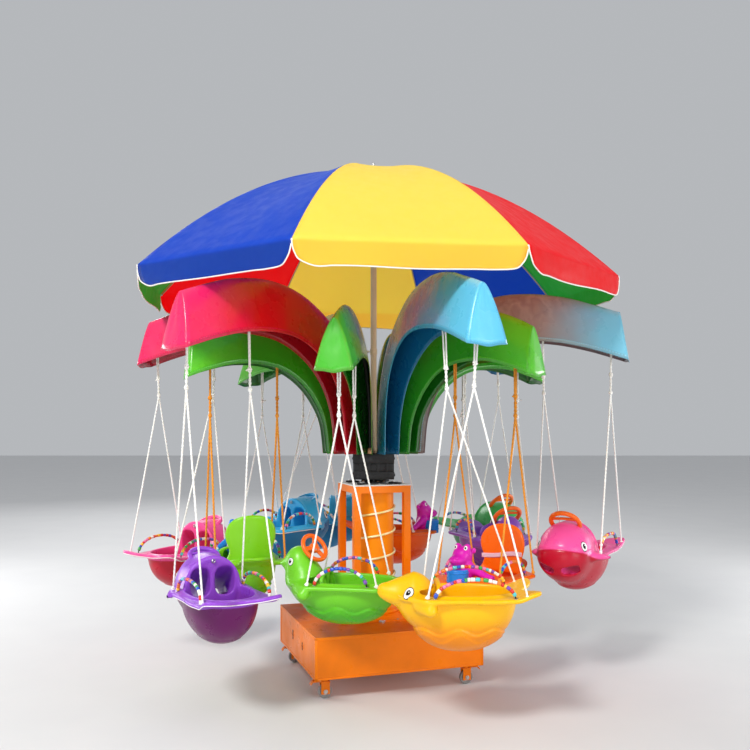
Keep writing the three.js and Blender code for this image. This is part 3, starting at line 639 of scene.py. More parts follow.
def weld_bead(path, radius, swell, rate, closed=False):
    return tube(path, radius + swell * np.sin(np.arange(len(path)) * rate), 7, closed)


def smooth_step(x, low, high):
    t = np.clip((x - low) / (high - low), 0, 1)
    return t * t * (3 - 2 * t)


def ripple(x, y, seed):
    """A smooth pseudo-random field from a few crossing waves; the same for the same seed."""
    rng = np.random.default_rng(seed)
    total = np.zeros(np.broadcast(x, y).shape)
    for octave in (1, 2, 4):
        for _ in range(4):
            a, b = rng.normal(size=2) * octave
            total = total + np.sin(a * x + b * y + rng.uniform(0, TAU)) / octave
    return total / 5


def weld(mesh):
    bm = bmesh.new()
    bm.from_mesh(mesh)
    bmesh.ops.remove_doubles(bm, verts=bm.verts, dist=2e-5)
    bmesh.ops.recalc_face_normals(bm, faces=bm.faces)
    bm.to_mesh(mesh)
    bm.free()


def face_out(mesh, outward):
    """Turns the faces so that on the whole they look along outward(centre)."""
    if sum(p.normal.dot(Vector(outward(p.center))) * p.area for p in mesh.polygons) < 0:
        mesh.flip_normals()


def thicken(obj, thickness, inner_slot, offset=-1):
    solid = obj.modifiers.new("thickness", "SOLIDIFY")
    solid.thickness, solid.offset = thickness, offset
    solid.material_offset, solid.material_offset_rim = inner_slot, 0
    solid.use_even_offset = False


# Canopy
CANOPY_R, CANOPY_TOP, RIM_Z, VALANCE = 1.400, 2.930, 2.260, 0.125
CANOPY_TURN = math.radians(7.66 - 90 + 22.5)
CHORD = 2 * CANOPY_R * math.sin(math.pi / 8)
CROWN_TO_RIM = 1.62  # along the cloth
PANELS = ["yellow", "red", "green", "blue"] * 2
TAB_ROUND = 0.105


def canopy_z(r):
    return CANOPY_TOP - (CANOPY_TOP - RIM_Z) * (r / CANOPY_R) ** 2


def canopy_corner(k):
    angle = CANOPY_TURN + k * math.pi / 4
    return np.array([math.cos(angle), math.sin(angle)])


def between(a, b, u):
    return a * (1 - u[..., None]) + b * u[..., None]


def canopy_panel(k):
    """One panel with its valance tab, as grids of points that meet the neighbours' at the ribs."""
    a, b = canopy_corner(k - 1), canopy_corner(k)
    out = (a + b) / np.linalg.norm(a + b)
    u = line(0, 1, 33)[None, :]
    share = line(0.012, 1, 38)[:, None]
    from_middle = np.abs(u - 0.5)
    belly = 4 * u * (1 - u)
    sag = 0.045 * share * (1 - share**3) * belly
    folds = 0.0045 * share * belly * ripple(3.2 * u + k, 5 * share, 10 + k)
    seam_pull = smooth_step(from_middle, 0.36, 0.49) * (1 - smooth_step(from_middle, 0.485, 0.5))
    puckers = 0.004 * seam_pull * np.sin(46 * share) * share
    z = canopy_z(CANOPY_R * share) - sag + folds + puckers
    panel = np.dstack([between(a, b, u) * (CANOPY_R * share)[..., None], z])
    top = sheet_part(panel, along=share * CROWN_TO_RIM, across=from_middle * CHORD * share,
                     seam=np.minimum(u, 1 - u) * share * CHORD)
    t = line(0, 1, 13)[:, None]
    inset = TAB_ROUND / CHORD * (1 - np.sqrt(1 - t**2))
    v = inset + u * (1 - 2 * inset)
    wave = 0.009 * t * np.sin(7.3 * v + 1.7 * k) + 0.006 * t * ripple(6 * v, 2 * t, 40 + k)
    edge = between(a, b, v) * CANOPY_R + out * (0.004 * t + wave)[..., None]
    arch = 0.010 * (4 * v * (1 - v)) * t + 0.004 * t * np.sin(9 * v + k)
    tab = np.dstack([edge, RIM_Z - VALANCE * t + arch + (panel[-1:, :, 2] - RIM_Z) * (1 - t) ** 2])
    tab[0] = panel[-1]
    fall = sheet_part(tab, along=CROWN_TO_RIM + VALANCE * t, across=np.abs(v - 0.5) * CHORD,
                      seam=np.minimum(VALANCE * (1 - t), np.minimum(v, 1 - v) * CHORD + 0.004))
    return top, fall, np.vstack([tab[:, 0], tab[-1, 1:-1], tab[::-1, -1]])


canopy_shape, piping_shape = Shape(), Shape()
colour_names = list(CANOPY_COLOURS)
for k, colour in enumerate(PANELS):
    top, fall, border = canopy_panel(k)
    canopy_shape.add(top, colour_names.index(colour)).add(fall, colour_names.index(colour))
    piping_shape.add(tube(spline(border[::3], 110), 0.0034, 8))
mesh = canopy_shape.mesh("canopy_cloth")
weld(mesh)
face_out(mesh, lambda c: (c.x, c.y, 1.2))
cloths = [side + colour for side in ("canopy_", "lining_") for colour in colour_names]
canopy = piece("canopy_cloth", mesh, "rotor", cloths, "canopy_cloth", ["canopy"])
thicken(canopy, 0.0016, 4)
piping = piece("canopy_piping", piping_shape, "rotor", ["piping"], "canopy_cloth")


# Petals
HUB_TOP, HUB_BOTTOM, HUB_SIZE = 1.270, 1.120, 0.240
HIGH_PETAL = np.array([  # radius and height of the ridge, then of the hem, and half the width
    [58, 1270.3, 300, 1270.3, 42], [75, 1500, 318, 1460, 46], [140, 1720, 365, 1610, 55],
    [255, 1900, 445, 1730, 66], [420, 2045, 560, 1825, 78], [620, 2150, 700, 1888, 88],
    [850, 2190, 870, 1912, 95], [1080, 2172, 1060, 1902, 98], [1270, 2118, 1250, 1862, 100],
    [1412, 2072, 1448, 1800, 100]]) * MM
LOW_PETAL = np.array([
    [58, 1270.3, 300, 1270.3, 42], [80, 1500, 325, 1450, 46], [160, 1700, 385, 1580, 56],
    [300, 1860, 470, 1680, 68], [470, 1975, 570, 1745, 80], [660, 2040, 690, 1775, 90],
    [840, 2040, 840, 1775, 95], [980, 1995, 990, 1738, 96], [1072, 1950, 1095, 1700, 96]]) * MM
PETAL_STEPS = 84
PETAL_HALF = 16  # columns on each flank
TENT = 1.65  # the tent's curve: 1 is straight from ridge to hem
TIP_LOOKS = {0: "green_front_painted_reflection", 9: "red", 11: "red", 3: "grey"}


def is_low(i):
    return i % 2 == 0


def arm_turn(i):
    return turn_z(math.radians(30 * i - 10 - 90))


def petal_rows(i):
    return LOW_PETAL if is_low(i) else HIGH_PETAL


def petal_parts(rows, seed):
    """The sheet over one arm, along +X: two flanks that fall from a round ridge, and a flap at the tip."""
    stations = spline(rows, PETAL_STEPS)
    ridge, hem, half = stations[:, 0:2], stations[:, 2:4], stations[:, 4:]
    run = line(0, 1, PETAL_STEPS)[:, None]
    length = travelled(ridge)[:, None]
    fall = np.linalg.norm(hem - ridge, axis=1)[:, None]
    u = line(-1, 1, 2 * PETAL_HALF + 1)[None]
    flank, side = np.abs(u), np.sign(u)
    fold = 0.0045 * ripple(length * 2.6, flank * 0.9 + side * 5, seed) * (0.1 + flank)
    drape = 0.0030 * np.sin(length * 12 + flank * 3 + seed) * flank**2 * smooth_step(run, 0.35, 0.7)
    sag = 0.004 * ripple(length * 8, 0 * flank, seed + 5) * smooth_step(run, 0.1, 0.4)
    r, z = (ridge[:, k:k + 1] + (hem[:, k:k + 1] - ridge[:, k:k + 1]) * flank**TENT for k in (0, 1))
    body = np.dstack([r, half * u + side * (fold + drape), z + sag * (1 - flank)])
    t = u[0, PETAL_HALF:, None] ** TENT
    c = line(-1, 1, PETAL_HALF + 1)[None]
    left, right = body[-1, PETAL_HALF::-1], body[-1, PETAL_HALF:]
    flap = between(left[:, None], right[:, None], 0.5 * (1 + c))
    arch = 1 - c**2
    flap[..., 0] += 0.016 * arch * t + 0.005 * arch * ripple(2.2 * c, 2.5 * t, seed + 9)
    flap[..., 2] -= 0.010 * arch * t**3 + 0.004 * np.sin(4.4 * c + seed) * arch * t**4
    to_edge = np.minimum((1 - t) * fall[-1], (1 - np.abs(c)) * half[-1] * np.sqrt(t) + 0.003)
    beyond = length[-1] + half[-1] * np.abs(c) + 0.3 * t
    return [sheet_part(body, run=run, flank=flank, along=length, edge=np.minimum((1 - flank) * fall, length)),
            sheet_part(flap, run=1.03, flank=0.6, along=beyond, edge=to_edge)]


for i in range(12):
    number = f"{i + 1:02d}"
    look = TIP_LOOKS.get(i, "green" if is_low(i) else "blue")
    family = "green" if is_low(i) else look
    shape = Shape()
    for part in petal_parts(petal_rows(i), 7 * i + 1):
        shape.add(part, 0, arm_turn(i))
    mesh = shape.mesh("petal_cloth_" + number)
    weld(mesh)
    face_out(mesh, lambda c: (0, 0, 1))
    slot = "petal_" + ("blue" if family == "grey" else family)
    # the underside slot takes the darker _in copy: painted shade under the sheet
    petal = piece("petal_cloth_" + number, mesh, "rotor", ["petal_" + look, f"petal_{family}_in"], slot,
                  ["petal_" + number])
    thicken(petal, 0.0022, 1)


# Arms and hub
ARM_R = 0.012
TUBE_PLAY, PETAL_SHEET = 0.003, 0.004  # between an arm and its petal in the CAD, and that petal's thickness
AHEAD = toward((1, 0, 0))


def arm_path(rows):
    """The centre line of the tube under a petal, as the CAD has it."""
    points = []
    for ridge_r, ridge_z, hem_r, hem_z, half in rows:
        drop = math.hypot(hem_r - ridge_r, hem_z - ridge_z)
        slope = 0.45 * half / (0.2 * drop)
        share = (ARM_R + PETAL_SHEET + TUBE_PLAY) / math.sin(math.atan(slope)) / drop
        points.append((ridge_r + (hem_r - ridge_r) * share, 0, ridge_z + (hem_z - ridge_z) * share))
    points = np.array(points)
    points[-1] += (points[-2] - points[-1]) * 0.16
    return np.vstack([(points[0][0], 0, HUB_TOP - 0.03), points])


arms = Shape()
for i in range(12):
    turn = arm_turn(i)
    path = arm_path(petal_rows(i))
    foot = path[0][0]
    path = spline(path, 66)
    arms.add(tube(path, ARM_R, 16), 0, turn)
    arms.add(ball((0, 0, 0), (0.0135, 0.0135, 0.007), 6), 2, toward(path[-1] - path[-2], path[-1]), turn)
    arms.add(turned(disc_profile(0.0175, 0, 0.034, 0.0125), 0.0015, 2, 24), 1, (foot, 0, HUB_TOP), turn)
    for side in BOTH:
        cheek = block((0.007, 0.024, 0.028), (0, 0, 0.014), 0.0015)
        arms.add(cheek, 1, (foot + side * 0.0205, 0, HUB_TOP), turn)
    arms.add(bolt(0.0055), 1, toward((1, 0, 0), (foot + 0.0242, 0, HUB_TOP + 0.016)), turn)
    for joint in ("swing_", "inner_swing_"):
        x, y, z = joints[f"{joint}{i + 1:02d}"]["pos_m"]
        radius = math.hypot(x, y)
        beyond = path[path[:, 0] > 0.3]
        height = float(beyond[np.argmin(abs(beyond[:, 0] - radius)), 2])
        arms.add(tube(line((x, y, z + 0.021), (x, y, height - 0.002), 4), 0.0048, 12), 1)
        arms.add(turned(disc_profile(0.0095, 0, 0.007), 0.001, 1, 6), 1, (x, y, height - ARM_R - 0.008))
        arms.add(torus(ARM_R + 0.0022, 0.0024, 24), 1, AHEAD, (radius, 0, height), turn)
        arms.add(torus(0.0085, 0.003, 20), 1, AHEAD, turn, (x, y, z + 0.0145))

# Hub block: stacked black castings with pockets, on a flange over the bearing plate
for size, height, middle, bevel in ((HUB_SIZE, 0.058, HUB_TOP - 0.029, 0.004),
                                    (HUB_SIZE - 0.016, 0.05, HUB_TOP - 0.08, 0.004),
                                    (HUB_SIZE, 0.048, HUB_BOTTOM + 0.024, 0.005)):
    arms.add(block((size, size, height), (0, 0, middle), bevel), 3)
for quarter in range(4):
    spin = turn_z(quarter * math.pi / 2)
    for y in (-0.075, -0.025, 0.025, 0.075):
        arms.add(block((0.012, 0.016, 0.05), (HUB_SIZE / 2 - 0.007, y, HUB_TOP - 0.08), 0.002), 3, spin)
    for y in (-0.09, 0.0, 0.09):
        arms.add(bolt(0.007), 3, toward((1, 0, 0), (HUB_SIZE / 2, y, HUB_BOTTOM + 0.024)), spin)
        arms.add(bolt(0.006), 3, toward((1, 0, 0), (HUB_SIZE / 2, y * 0.8, HUB_TOP - 0.03)), spin)
    arms.add(block((0.030, 0.012, 0.030), (0.058, 0, HUB_BOTTOM - 0.014), 0.002), 3, spin)
arms.add(turned([(0.0, 1.0929), (0.074, 1.0929), (0.074, 1.103), (0.052, 1.106), (0.048, 1.118),
                 (0.048, 1.125), (0, 1.125)], 0.003), 3)
for k in range(8):
    arms.add(bolt(0.0055), 1, around(0.064, 22.5 + 45 * k, 1.1028))
arms.add(lathe(disc_profile(0.0236, 1.002, 1.094), 32), 1)
piece("arms", arms, "rotor", ["black", "copper", "black", "black"], "hub_black", ["arm_frame"], sharp=38)


# Mast, ribs and stretchers
MAST_R, RUNNER_Z, FINIAL_TOP = 0.018, 2.540, 2.990
STRETCHER_REACH = 0.56
SCREW_DIRECTION, SCREW_PLACE = (-1, -0.35, 0), (0, 0, 1.868)
RIB_DROP = 0.0125

mast = Shape()
mast.add(tube(line((0, 0, HUB_TOP + 0.0003), (0, 0, CANOPY_TOP + 0.010), 12), MAST_R, 28))
mast.add(turned([(0.017, HUB_TOP + 0.0004), (0.040, HUB_TOP + 0.0004), (0.040, HUB_TOP + 0.010),
                 (0.022, HUB_TOP + 0.013), (0.0205, HUB_TOP + 0.060), (0.017, HUB_TOP + 0.062)],
                0.002, 3, 40))
for k in range(4):
    mast.add(bolt(0.0045), 1, around(0.031, 45 + 90 * k, HUB_TOP + 0.010))
mast.add(turned([(0.017, 1.850), (0.0215, 1.852), (0.0215, 1.884), (0.017, 1.886)], 0.0015, 3, 32))
mast.add(tube(line((0, 0, 0.018), (0, 0, 0.034), 3), 0.0035), 1, toward(SCREW_DIRECTION, SCREW_PLACE))
mast.add(ball((0, 0, 0.038), (0.0085, 0.0085, 0.0085)), 1, toward(SCREW_DIRECTION, SCREW_PLACE))
mast.add(turned([(0.0, CANOPY_TOP + 0.0004), (0.030, CANOPY_TOP + 0.0004), (0.026, CANOPY_TOP + 0.006),
                 (0.012, CANOPY_TOP + 0.010), (0.008, CANOPY_TOP + 0.020), (0.0075, FINIAL_TOP - 0.006),
                 (0.005, FINIAL_TOP), (0, FINIAL_TOP)], 0.002, 3, 32), 1)
crown_top = canopy_z(0.02) - 0.011
mast.add(turned(disc_profile(0.040, crown_top - 0.014, crown_top, 0.017), 0.002, 3, 40))
mast.add(turned([(0.0185, RUNNER_Z - 0.045), (0.0235, RUNNER_Z - 0.045), (0.025, RUNNER_Z - 0.014),
                 (0.040, RUNNER_Z - 0.012), (0.040, RUNNER_Z + 0.012), (0.0185, RUNNER_Z + 0.014)],
                0.0025, 3, 40))
rib = [[r, 0, canopy_z(r) - RIB_DROP] for r in line(0.034, CANOPY_R - 0.014, 26)]
clip = canopy_z(STRETCHER_REACH) - 0.0165
for k in range(8):
    spin = turn_z(CANOPY_TURN + k * math.pi / 4)
    mast.add(tube(rib, 0.0048), 0, spin)
    mast.add(tube(line((0.036, 0, RUNNER_Z), (STRETCHER_REACH, 0, clip), 6), 0.004), 0, spin)
    mast.add(block((0.026, 0.016, 0.014), (STRETCHER_REACH, 0, clip + 0.002), 0.002), 1, spin)
    mast.add(bolt(0.0032), 1, toward((0, -1, 0), (STRETCHER_REACH, -0.008, clip + 0.002)), spin)
    tip = (CANOPY_R - 0.008, 0, canopy_z(CANOPY_R - 0.01) - RIB_DROP)
    mast.add(ball(tip, (0.0095, 0.007, 0.007)), 2, spin)
piece("mast_frame", mast, "rotor", ["cream", "steel", "piping"], "mast_cream", ["mast"], sharp=40)


# Cabinet; three CAD nodes stay as they are, with rounded edges and a finish
BASE = turn_z(math.radians(18))
CAB_X, CAB_Y, CAB_L, CAB_W, CAB_LOW, CAB_TOP = -0.015, -0.104, 0.950, 0.860, 0.115, 0.338
LID_TOP = CAB_TOP + 0.005
LID_X, LID_Y = 0.28, 0.30
TOWER_W, POST, TOWER_TOP = 0.342, 0.040, 1.086

for name, material, bevel in (("cabinet", "orange", 0.0022), ("tower_frame", "orange", 0.0025),
                              ("bearing_plate", "plate", 0.001)):
    node = frame["nodes"][name]
    node.data.materials.clear()
    node.data.materials.append(MAT[material])
    edges = node.modifiers.new("edges", "BEVEL")
    edges.width, edges.segments, edges.limit_method, edges.angle_limit = bevel, 3, "ANGLE", math.radians(35)
    edges.harden_normals = False

# Folded edge strips and corner posts
trim = Shape()
left, right = CAB_X - CAB_L / 2, CAB_X + CAB_L / 2
front, back = CAB_Y - CAB_W / 2, CAB_Y + CAB_W / 2
for x, y, long, wide in ((CAB_X, front, CAB_L + 0.004, 0.005), (CAB_X, back, CAB_L + 0.004, 0.005),
                         (left, CAB_Y, 0.005, CAB_W + 0.004), (right, CAB_Y, 0.005, CAB_W + 0.004)):
    trim.add(block((long, wide, 0.016), (x, y, CAB_TOP - 0.008), 0.002))
    trim.add(block((long, wide, 0.012), (x, y, CAB_LOW + 0.006), 0.002))
for x, y in ((left + 0.0055, front + 0.0055), (right - 0.0055, front + 0.0055),
             (left + 0.0055, back - 0.0055), (right - 0.0055, back - 0.0055)):
    trim.add(block((0.016, 0.016, CAB_TOP - CAB_LOW - 0.002), (x, y, (CAB_TOP + CAB_LOW) / 2), 0.0025))
# The lid's screws and its toggle latch
for x, y in [*itertools.product(line(-LID_X + 0.025, LID_X - 0.025, 6), (-LID_Y + 0.016, LID_Y - 0.016)),
             *itertools.product((-LID_X + 0.016, LID_X - 0.016), line(-LID_Y + 0.08, LID_Y - 0.08, 4))]:
    trim.add(bolt(0.0042), 1, (x, y, LID_TOP))
trim.add(block((0.034, 0.012, 0.010), (-0.05, -LID_Y - 0.004, CAB_TOP + 0.004), 0.002), 1)
trim.add(tube(line((-0.068, -LID_Y - 0.011, CAB_TOP + 0.009), (-0.032, -LID_Y - 0.011, CAB_TOP + 0.009), 4),
              0.003, 8), 1)
trim.add(block((0.012, 0.018, 0.004), (-0.05, -LID_Y - 0.022, CAB_TOP + 0.002), 0.001), 1)
# Two slots on the left face, a cable grommet at the back and louvres on the right face
for y, z, height in ((CAB_Y + 0.09, 0.235, 0.052), (CAB_Y - 0.14, 0.225, 0.040)):
    trim.add(block((0.003, 0.014, height), (left - 0.0008, y, z), 0.001), 2)
    trim.add(torus(0.011, 0.0016, 24, 6), 0, Matrix.Translation((left - 0.001, y, z)) @ AHEAD
             @ Matrix.Diagonal((height / 0.022, 0.85, 1, 1)))
grommet = [(0, 0), (0.020, 0), (0.020, 0.004), (0.012, 0.006), (0.012, 0.012), (0, 0.012)]
trim.add(turned(grommet, 0.001, 3, 28), 2, toward((0, 1, 0), (right - 0.20, back, 0.19)))
for y, z in itertools.product((CAB_Y - 0.2, CAB_Y, CAB_Y + 0.2), (0.20, 0.225, 0.25, 0.275)):
    trim.add(block((0.003, 0.11, 0.008), (right + 0.0006, y, z), 0.0012), 2)
piece("cabinet_trim", trim, "base", ["orange", "steel", "black"], "orange_paint", matrix=BASE, sharp=35)


# Tower: foot plates and weld beads
welds = Shape()
reach = (TOWER_W - POST) / 2
for a, b in itertools.product(BOTH, BOTH):
    x, y = a * reach, b * reach
    welds.add(block((0.072, 0.072, 0.005), (x, y, LID_TOP + 0.0028), 0.0015))
    welds.add(bolt(0.005), 1, (x + a * 0.028, y + b * 0.028, LID_TOP + 0.005))
    foot = np.array([(x + sx * 0.0205, y + sy * 0.0205, LID_TOP + 0.006)
                     for sx, sy in ((-1, -1), (1, -1), (1, 1), (-1, 1), (-1, -1))])
    loop = np.vstack([line(p, q, 16)[:-1] for p, q in zip(foot[:-1], foot[1:])])
    welds.add(weld_bead(loop, 0.0028, 0.0007, 2.6, closed=True))
    for sx, sy in ((-a, b), (a, -b)):
        start = (x - a * 0.0204, y - b * 0.0204, TOWER_TOP - POST)
        end = (x + sx * 0.0204, y + sy * 0.0204, TOWER_TOP - POST)
        welds.add(weld_bead(line(start, end, 14), 0.0026, 0.0006, 2.4))
piece("tower_welds", welds, "base", ["orange", "steel"], "orange_paint", matrix=BASE, sharp=35)

# Black brackets, shims and bolts on the bearing plate
plate = Shape()
top = TOWER_TOP + 0.0063
for k in range(4):
    corner, side = turn_z(math.radians(45 + 90 * k)), turn_z(math.radians(90 * k))
    plate.add(block((0.075, 0.030, 0.010), (0.142, 0, top + 0.005), 0.002), 1, corner)
    for x in (0.160, 0.128):
        plate.add(bolt(0.0075), 0, (x, 0, top + 0.010), corner)
    for y in (-0.045, 0.045):
        plate.add(block((0.012, 0.046, 0.0022), (0.136, y, top + 0.0006), 0.0008), 1, side)
    plate.add(bolt(0.006), 0, (0.108, 0, top), side)
piece("bearing_brackets", plate, "base", ["steel", "black"], "bearing_steel", matrix=BASE, sharp=35)


# Drive drum and the light hose wound on it
DRUM_R = 0.118
HOSE_TURNS, HOSE_PITCH, HOSE_START, HOSE_STEPS = 4.5, 0.130, 0.440, 560
LAMP_PITCH = 0.0125

drum = Shape()
low = LID_TOP + 0.0004
drum.add(turned([(0, low), (0.150, low), (0.150, low + 0.012), (0.144, low + 0.014), (0.144, low + 0.030),
                 (0.131, low + 0.058), (0.124, low + 0.060), (DRUM_R, low + 0.066),
                 (DRUM_R, TOWER_TOP - 0.030), (DRUM_R + 0.004, TOWER_TOP - 0.027),
                 (DRUM_R + 0.004, TOWER_TOP - 0.0005), (0.0255, TOWER_TOP - 0.0005), (0.0255, 0.991),
                 (0, 0.991)], 0.003, 3, 96))
seam = line((DRUM_R + 0.0003, 0, low + 0.066), (DRUM_R + 0.0003, 0, TOWER_TOP - 0.03), 120)
drum.add(weld_bead(seam, 0.0022, 0.0005, 2.2), 0, turn_z(math.radians(40)))
for k in range(12):
    drum.add(bolt(0.005), 1, (0.1375, 0, low + 0.0305), turn_z(TAU * k / 12))
piece("drum_shell", drum, "base", ["drum", "steel"], "orange_paint", ["drive_drum"], BASE, 38)

hose = Shape()
ring = DRUM_R + 0.0068
angle = HOSE_TURNS * TAU * line(0, 1, HOSE_STEPS)
path = np.stack([ring * np.cos(angle), ring * np.sin(angle), HOSE_START + HOSE_PITCH * angle / TAU], -1)
pulse = 0.5 + 0.5 * np.cos(line(0, HOSE_TURNS * TAU * ring / LAMP_PITCH, HOSE_STEPS))
glow = np.append(np.repeat(pulse, 12), [0, 0])[:, None]
tint = (1 - glow) * np.array(linear((238, 234, 150))) + glow * np.array(linear((255, 252, 206)))
hose.add(tube(path, 0.0062, 12), tint=tint)
for share in (0.01, 0.26, 0.5, 0.75, 0.985):
    p = path[int(share * (HOSE_STEPS - 1))]
    out = np.array([p[0], p[1], 0]) / ring
    hose.add(block((0.0045, 0.012, 0.019), bevel=0.0015), 1,
             Matrix.Translation(p + out * 0.0052) @ turn_z(math.atan2(p[1], p[0])))
piece("light_tube", hose, "base", ["hose", "steel"], "hose_clear", ["light_hose"], BASE)


# Casters
WHEEL_R, WHEEL_HALF = 0.038, 0.012
TYRE = [(0.022, -0.0105), (0.032, -0.0115), (0.0365, -0.010), (WHEEL_R, -0.004)]
TYRE += [(r, -z) for r, z in reversed(TYRE)]
RIM = [(0.0064, -WHEEL_HALF), (0.012, -WHEEL_HALF), (0.013, -0.008), (0.022, -0.0075), (0.0235, -0.0108)]
RIM += [(r, -z) for r, z in reversed(RIM)]
AXLE = toward((0, 1, 0))

caster_trim = Shape()
for k, (a, b) in enumerate(((-1, -1), (1, -1), (1, 1), (-1, 1))):
    x, y = CAB_X + a * (CAB_L / 2 - 0.070), CAB_Y + b * (CAB_W / 2 - 0.075)
    wheel = Shape()
    wheel.add(turned(TYRE, 0.0015, 2), 0, AXLE)
    wheel.add(lathe([*RIM, RIM[0]]), 1, AXLE)
    for spoke, face in itertools.product(range(5), BOTH):
        web = block((0.011, 0.004, 0.003), (0.0175, 0, face * 0.0085), 0.0008)
        wheel.add(web, 1, turn_z(TAU * spoke / 5), AXLE)
    node = f"caster_wheel_{k + 1}"
    piece(f"wheel_{k + 1}", wheel, node, ["wheel", "steel"], "caster_grey", [node],
          BASE @ Matrix.Translation((x, y, WHEEL_R)), 40)
    for face in BOTH:
        caster_trim.add(bolt(0.008), 1, toward((0, face, 0), (x, y + face * 0.022, WHEEL_R)))
        caster_trim.add(bolt(0.005), 1, (x - 0.033, y + face * 0.026, CAB_LOW - 0.015))
    lever = [np.array([x + a * out, y, z])
             for out, z in ((0.055, 0.0965), (0.064, 0.095), (0.072, 0.088), (0.078, 0.078))]
    for p, q in zip(lever[:-1], lever[1:]):
        slope = math.atan2(q[2] - p[2], q[0] - p[0])
        caster_trim.add(block((np.linalg.norm(q - p) + 0.003, 0.034, 0.004), bevel=0.001), 0,
                        Matrix.Rotation(-slope, 4, "Y"), (p + q) / 2)
piece("caster_trim", caster_trim, "base", ["orange", "steel"], "orange_paint", matrix=BASE, sharp=35)


# Signed distances, in a seat's frame: +X ahead, +Y outside, z = 0 where the ropes hold
RIM_TOP, WALL = -0.0093, 0.022
HULL_L, HULL_W, HULL_POWER = 0.262, 0.170, 2.2
LIP_RADIUS = 0.0125  # of the bead along an edge
WAVE_LENGTH = 0.165  # of the relief on a tub's side
LEG_ROOM_FRONT = 0.225
BACK_X, BACK_BEND, BACK_LEAN = -0.208, 0.034, 0.03
SEAT_STEP, BLOB_STEP = ((0.0055, 0.0045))
SEAT_TRIS, FIGURE_TRIS, BEAK_TRIS = 17000, 7000, 5000
FRONT_HALF = [(0, 192), (140, 204), (188, 194), (222, 140), (300, 84)]  # half the rim in plan, in mm
TAIL_HALF = [(-368, 30), (-315, 88), (-250, 84), (-212, 196), (-165, 204), *FRONT_HALF]
FLUKE_HALF = [(-292, 20), (-340, 80), (-358, 150), (-335, 194), (-270, 192), (-215, 184), (-150, 200),
              *FRONT_HALF]


def smin(a, b, k):
    if k <= 0:
        return np.minimum(a, b)
    t = np.clip(0.5 + 0.5 * (b - a) / k, 0, 1)
    return b * (1 - t) + a * t - k * t * (1 - t)


def smax(a, b, k):
    return -smin(-a, -b, k)


def root(*squares):
    return np.sqrt(sum(value**2 for value in squares))


def bead(a, b, radius):
    """Distance to a bead along the line where both distances are 0."""
    return root(a, b) - radius


def slab(face, off, half, radius):
    """Distance to a plate with round edges, from that to its outline and that to its middle."""
    q1, q2 = face + radius, np.abs(off) - half
    return root(np.maximum(q1, 0), np.maximum(q2, 0)) + np.minimum(np.maximum(q1, q2), 0) - radius


def arch_of(y, z, half, low, crown):
    """1 on the edge of an upright panel with a round top, less inside."""
    rise = np.maximum(z - RIM_TOP - low, 0) / crown
    return ((np.abs(y) / half) ** 2.4 + rise**2.4) ** (1 / 2.4)


def egg(centre, radii, tilt=0):
    """Distance to an ellipsoid that may be tilted about Y, in degrees."""
    spin = np.array(Matrix.Rotation(math.radians(-tilt), 3, "Y"))

    def distance(*place):
        p = [v - c for v, c in zip(place, centre)]
        if tilt:
            p = [row[0] * p[0] + row[1] * p[1] + row[2] * p[2] for row in spin]
        q = [v / r for v, r in zip(p, radii)]
        k0 = root(*q) + 1e-9
        return k0 * (k0 - 1) / (root(*(v / r for v, r in zip(q, radii))) + 1e-9)
    return distance


def limb(a, b, ra, rb, squash=(1, 1, 1)):
    """Distance to a round cone between two points, squashed along an axis if asked."""
    a, b = np.array(a, float), np.array(b, float)
    ab = b - a

    def distance(*place):
        p = [v - c for v, c in zip(place, a)]
        t = np.clip((p[0] * ab[0] + p[1] * ab[1] + p[2] * ab[2]) / (ab @ ab), 0, 1)
        q = [(p[k] - t * ab[k]) / squash[k] for k in range(3)]
        return (root(*q) - (ra + (rb - ra) * t)) * min(squash)
    return distance


def limbs(a, b, ra, rb, flat=1):
    """The same limb on both sides, flattened along Z if asked."""
    return [limb((a[0], side * a[1], a[2]), (b[0], side * b[1], b[2]), ra, rb, (1, 1, flat)) for side in BOTH]


def rounded_block(centre, half, radius, *place):
    q = [np.abs(v - c) - s + radius for v, c, s in zip(place, centre, half)]
    inside = np.minimum(np.maximum(np.maximum(q[0], q[1]), q[2]), 0)
    return root(*(np.maximum(v, 0) for v in q)) + inside - radius


def smooth_outline(fluke):
    """The rim's closed outline, with its corners worked round."""
    half = FLUKE_HALF if fluke else TAIL_HALF
    p = np.array([*half, *[(x, -y) for x, y in reversed(half)]], float) * MM
    for _ in range(3):
        q = np.roll(p, -1, 0)
        p = np.stack([0.75 * p + 0.25 * q, 0.25 * p + 0.75 * q], 1).reshape(-1, 2)
    return p


def outline_distance(outline, x, y):
    """Signed distance in plan to a closed outline, on a grid of x by y."""
    px, py = np.broadcast_arrays(x, y)
    best = np.full(px.shape, 1e9)
    inside = np.zeros(px.shape, bool)
    for a, b in zip(outline, np.roll(outline, -1, 0)):
        e = b - a
        t = np.clip(((px - a[0]) * e[0] + (py - a[1]) * e[1]) / (e @ e + 1e-15), 0, 1)
        best = np.minimum(best, (px - a[0] - t * e[0]) ** 2 + (py - a[1] - t * e[1]) ** 2)
        if a[1] != b[1]:
            crosses = (a[1] > py) != (b[1] > py)
            inside ^= crosses & (px < (b[0] - a[0]) * (py - a[1]) / (b[1] - a[1]) + a[0])
    return np.sqrt(best) * np.where(inside, -1, 1)


def ends(grid, axis, rest):
    """The grid's values at the low and at the high end of each step along an axis."""
    low, high = [rest] * 3, [rest] * 3
    low[axis], high[axis] = slice(0, -1), slice(1, None)
    return grid[tuple(low)], grid[tuple(high)]


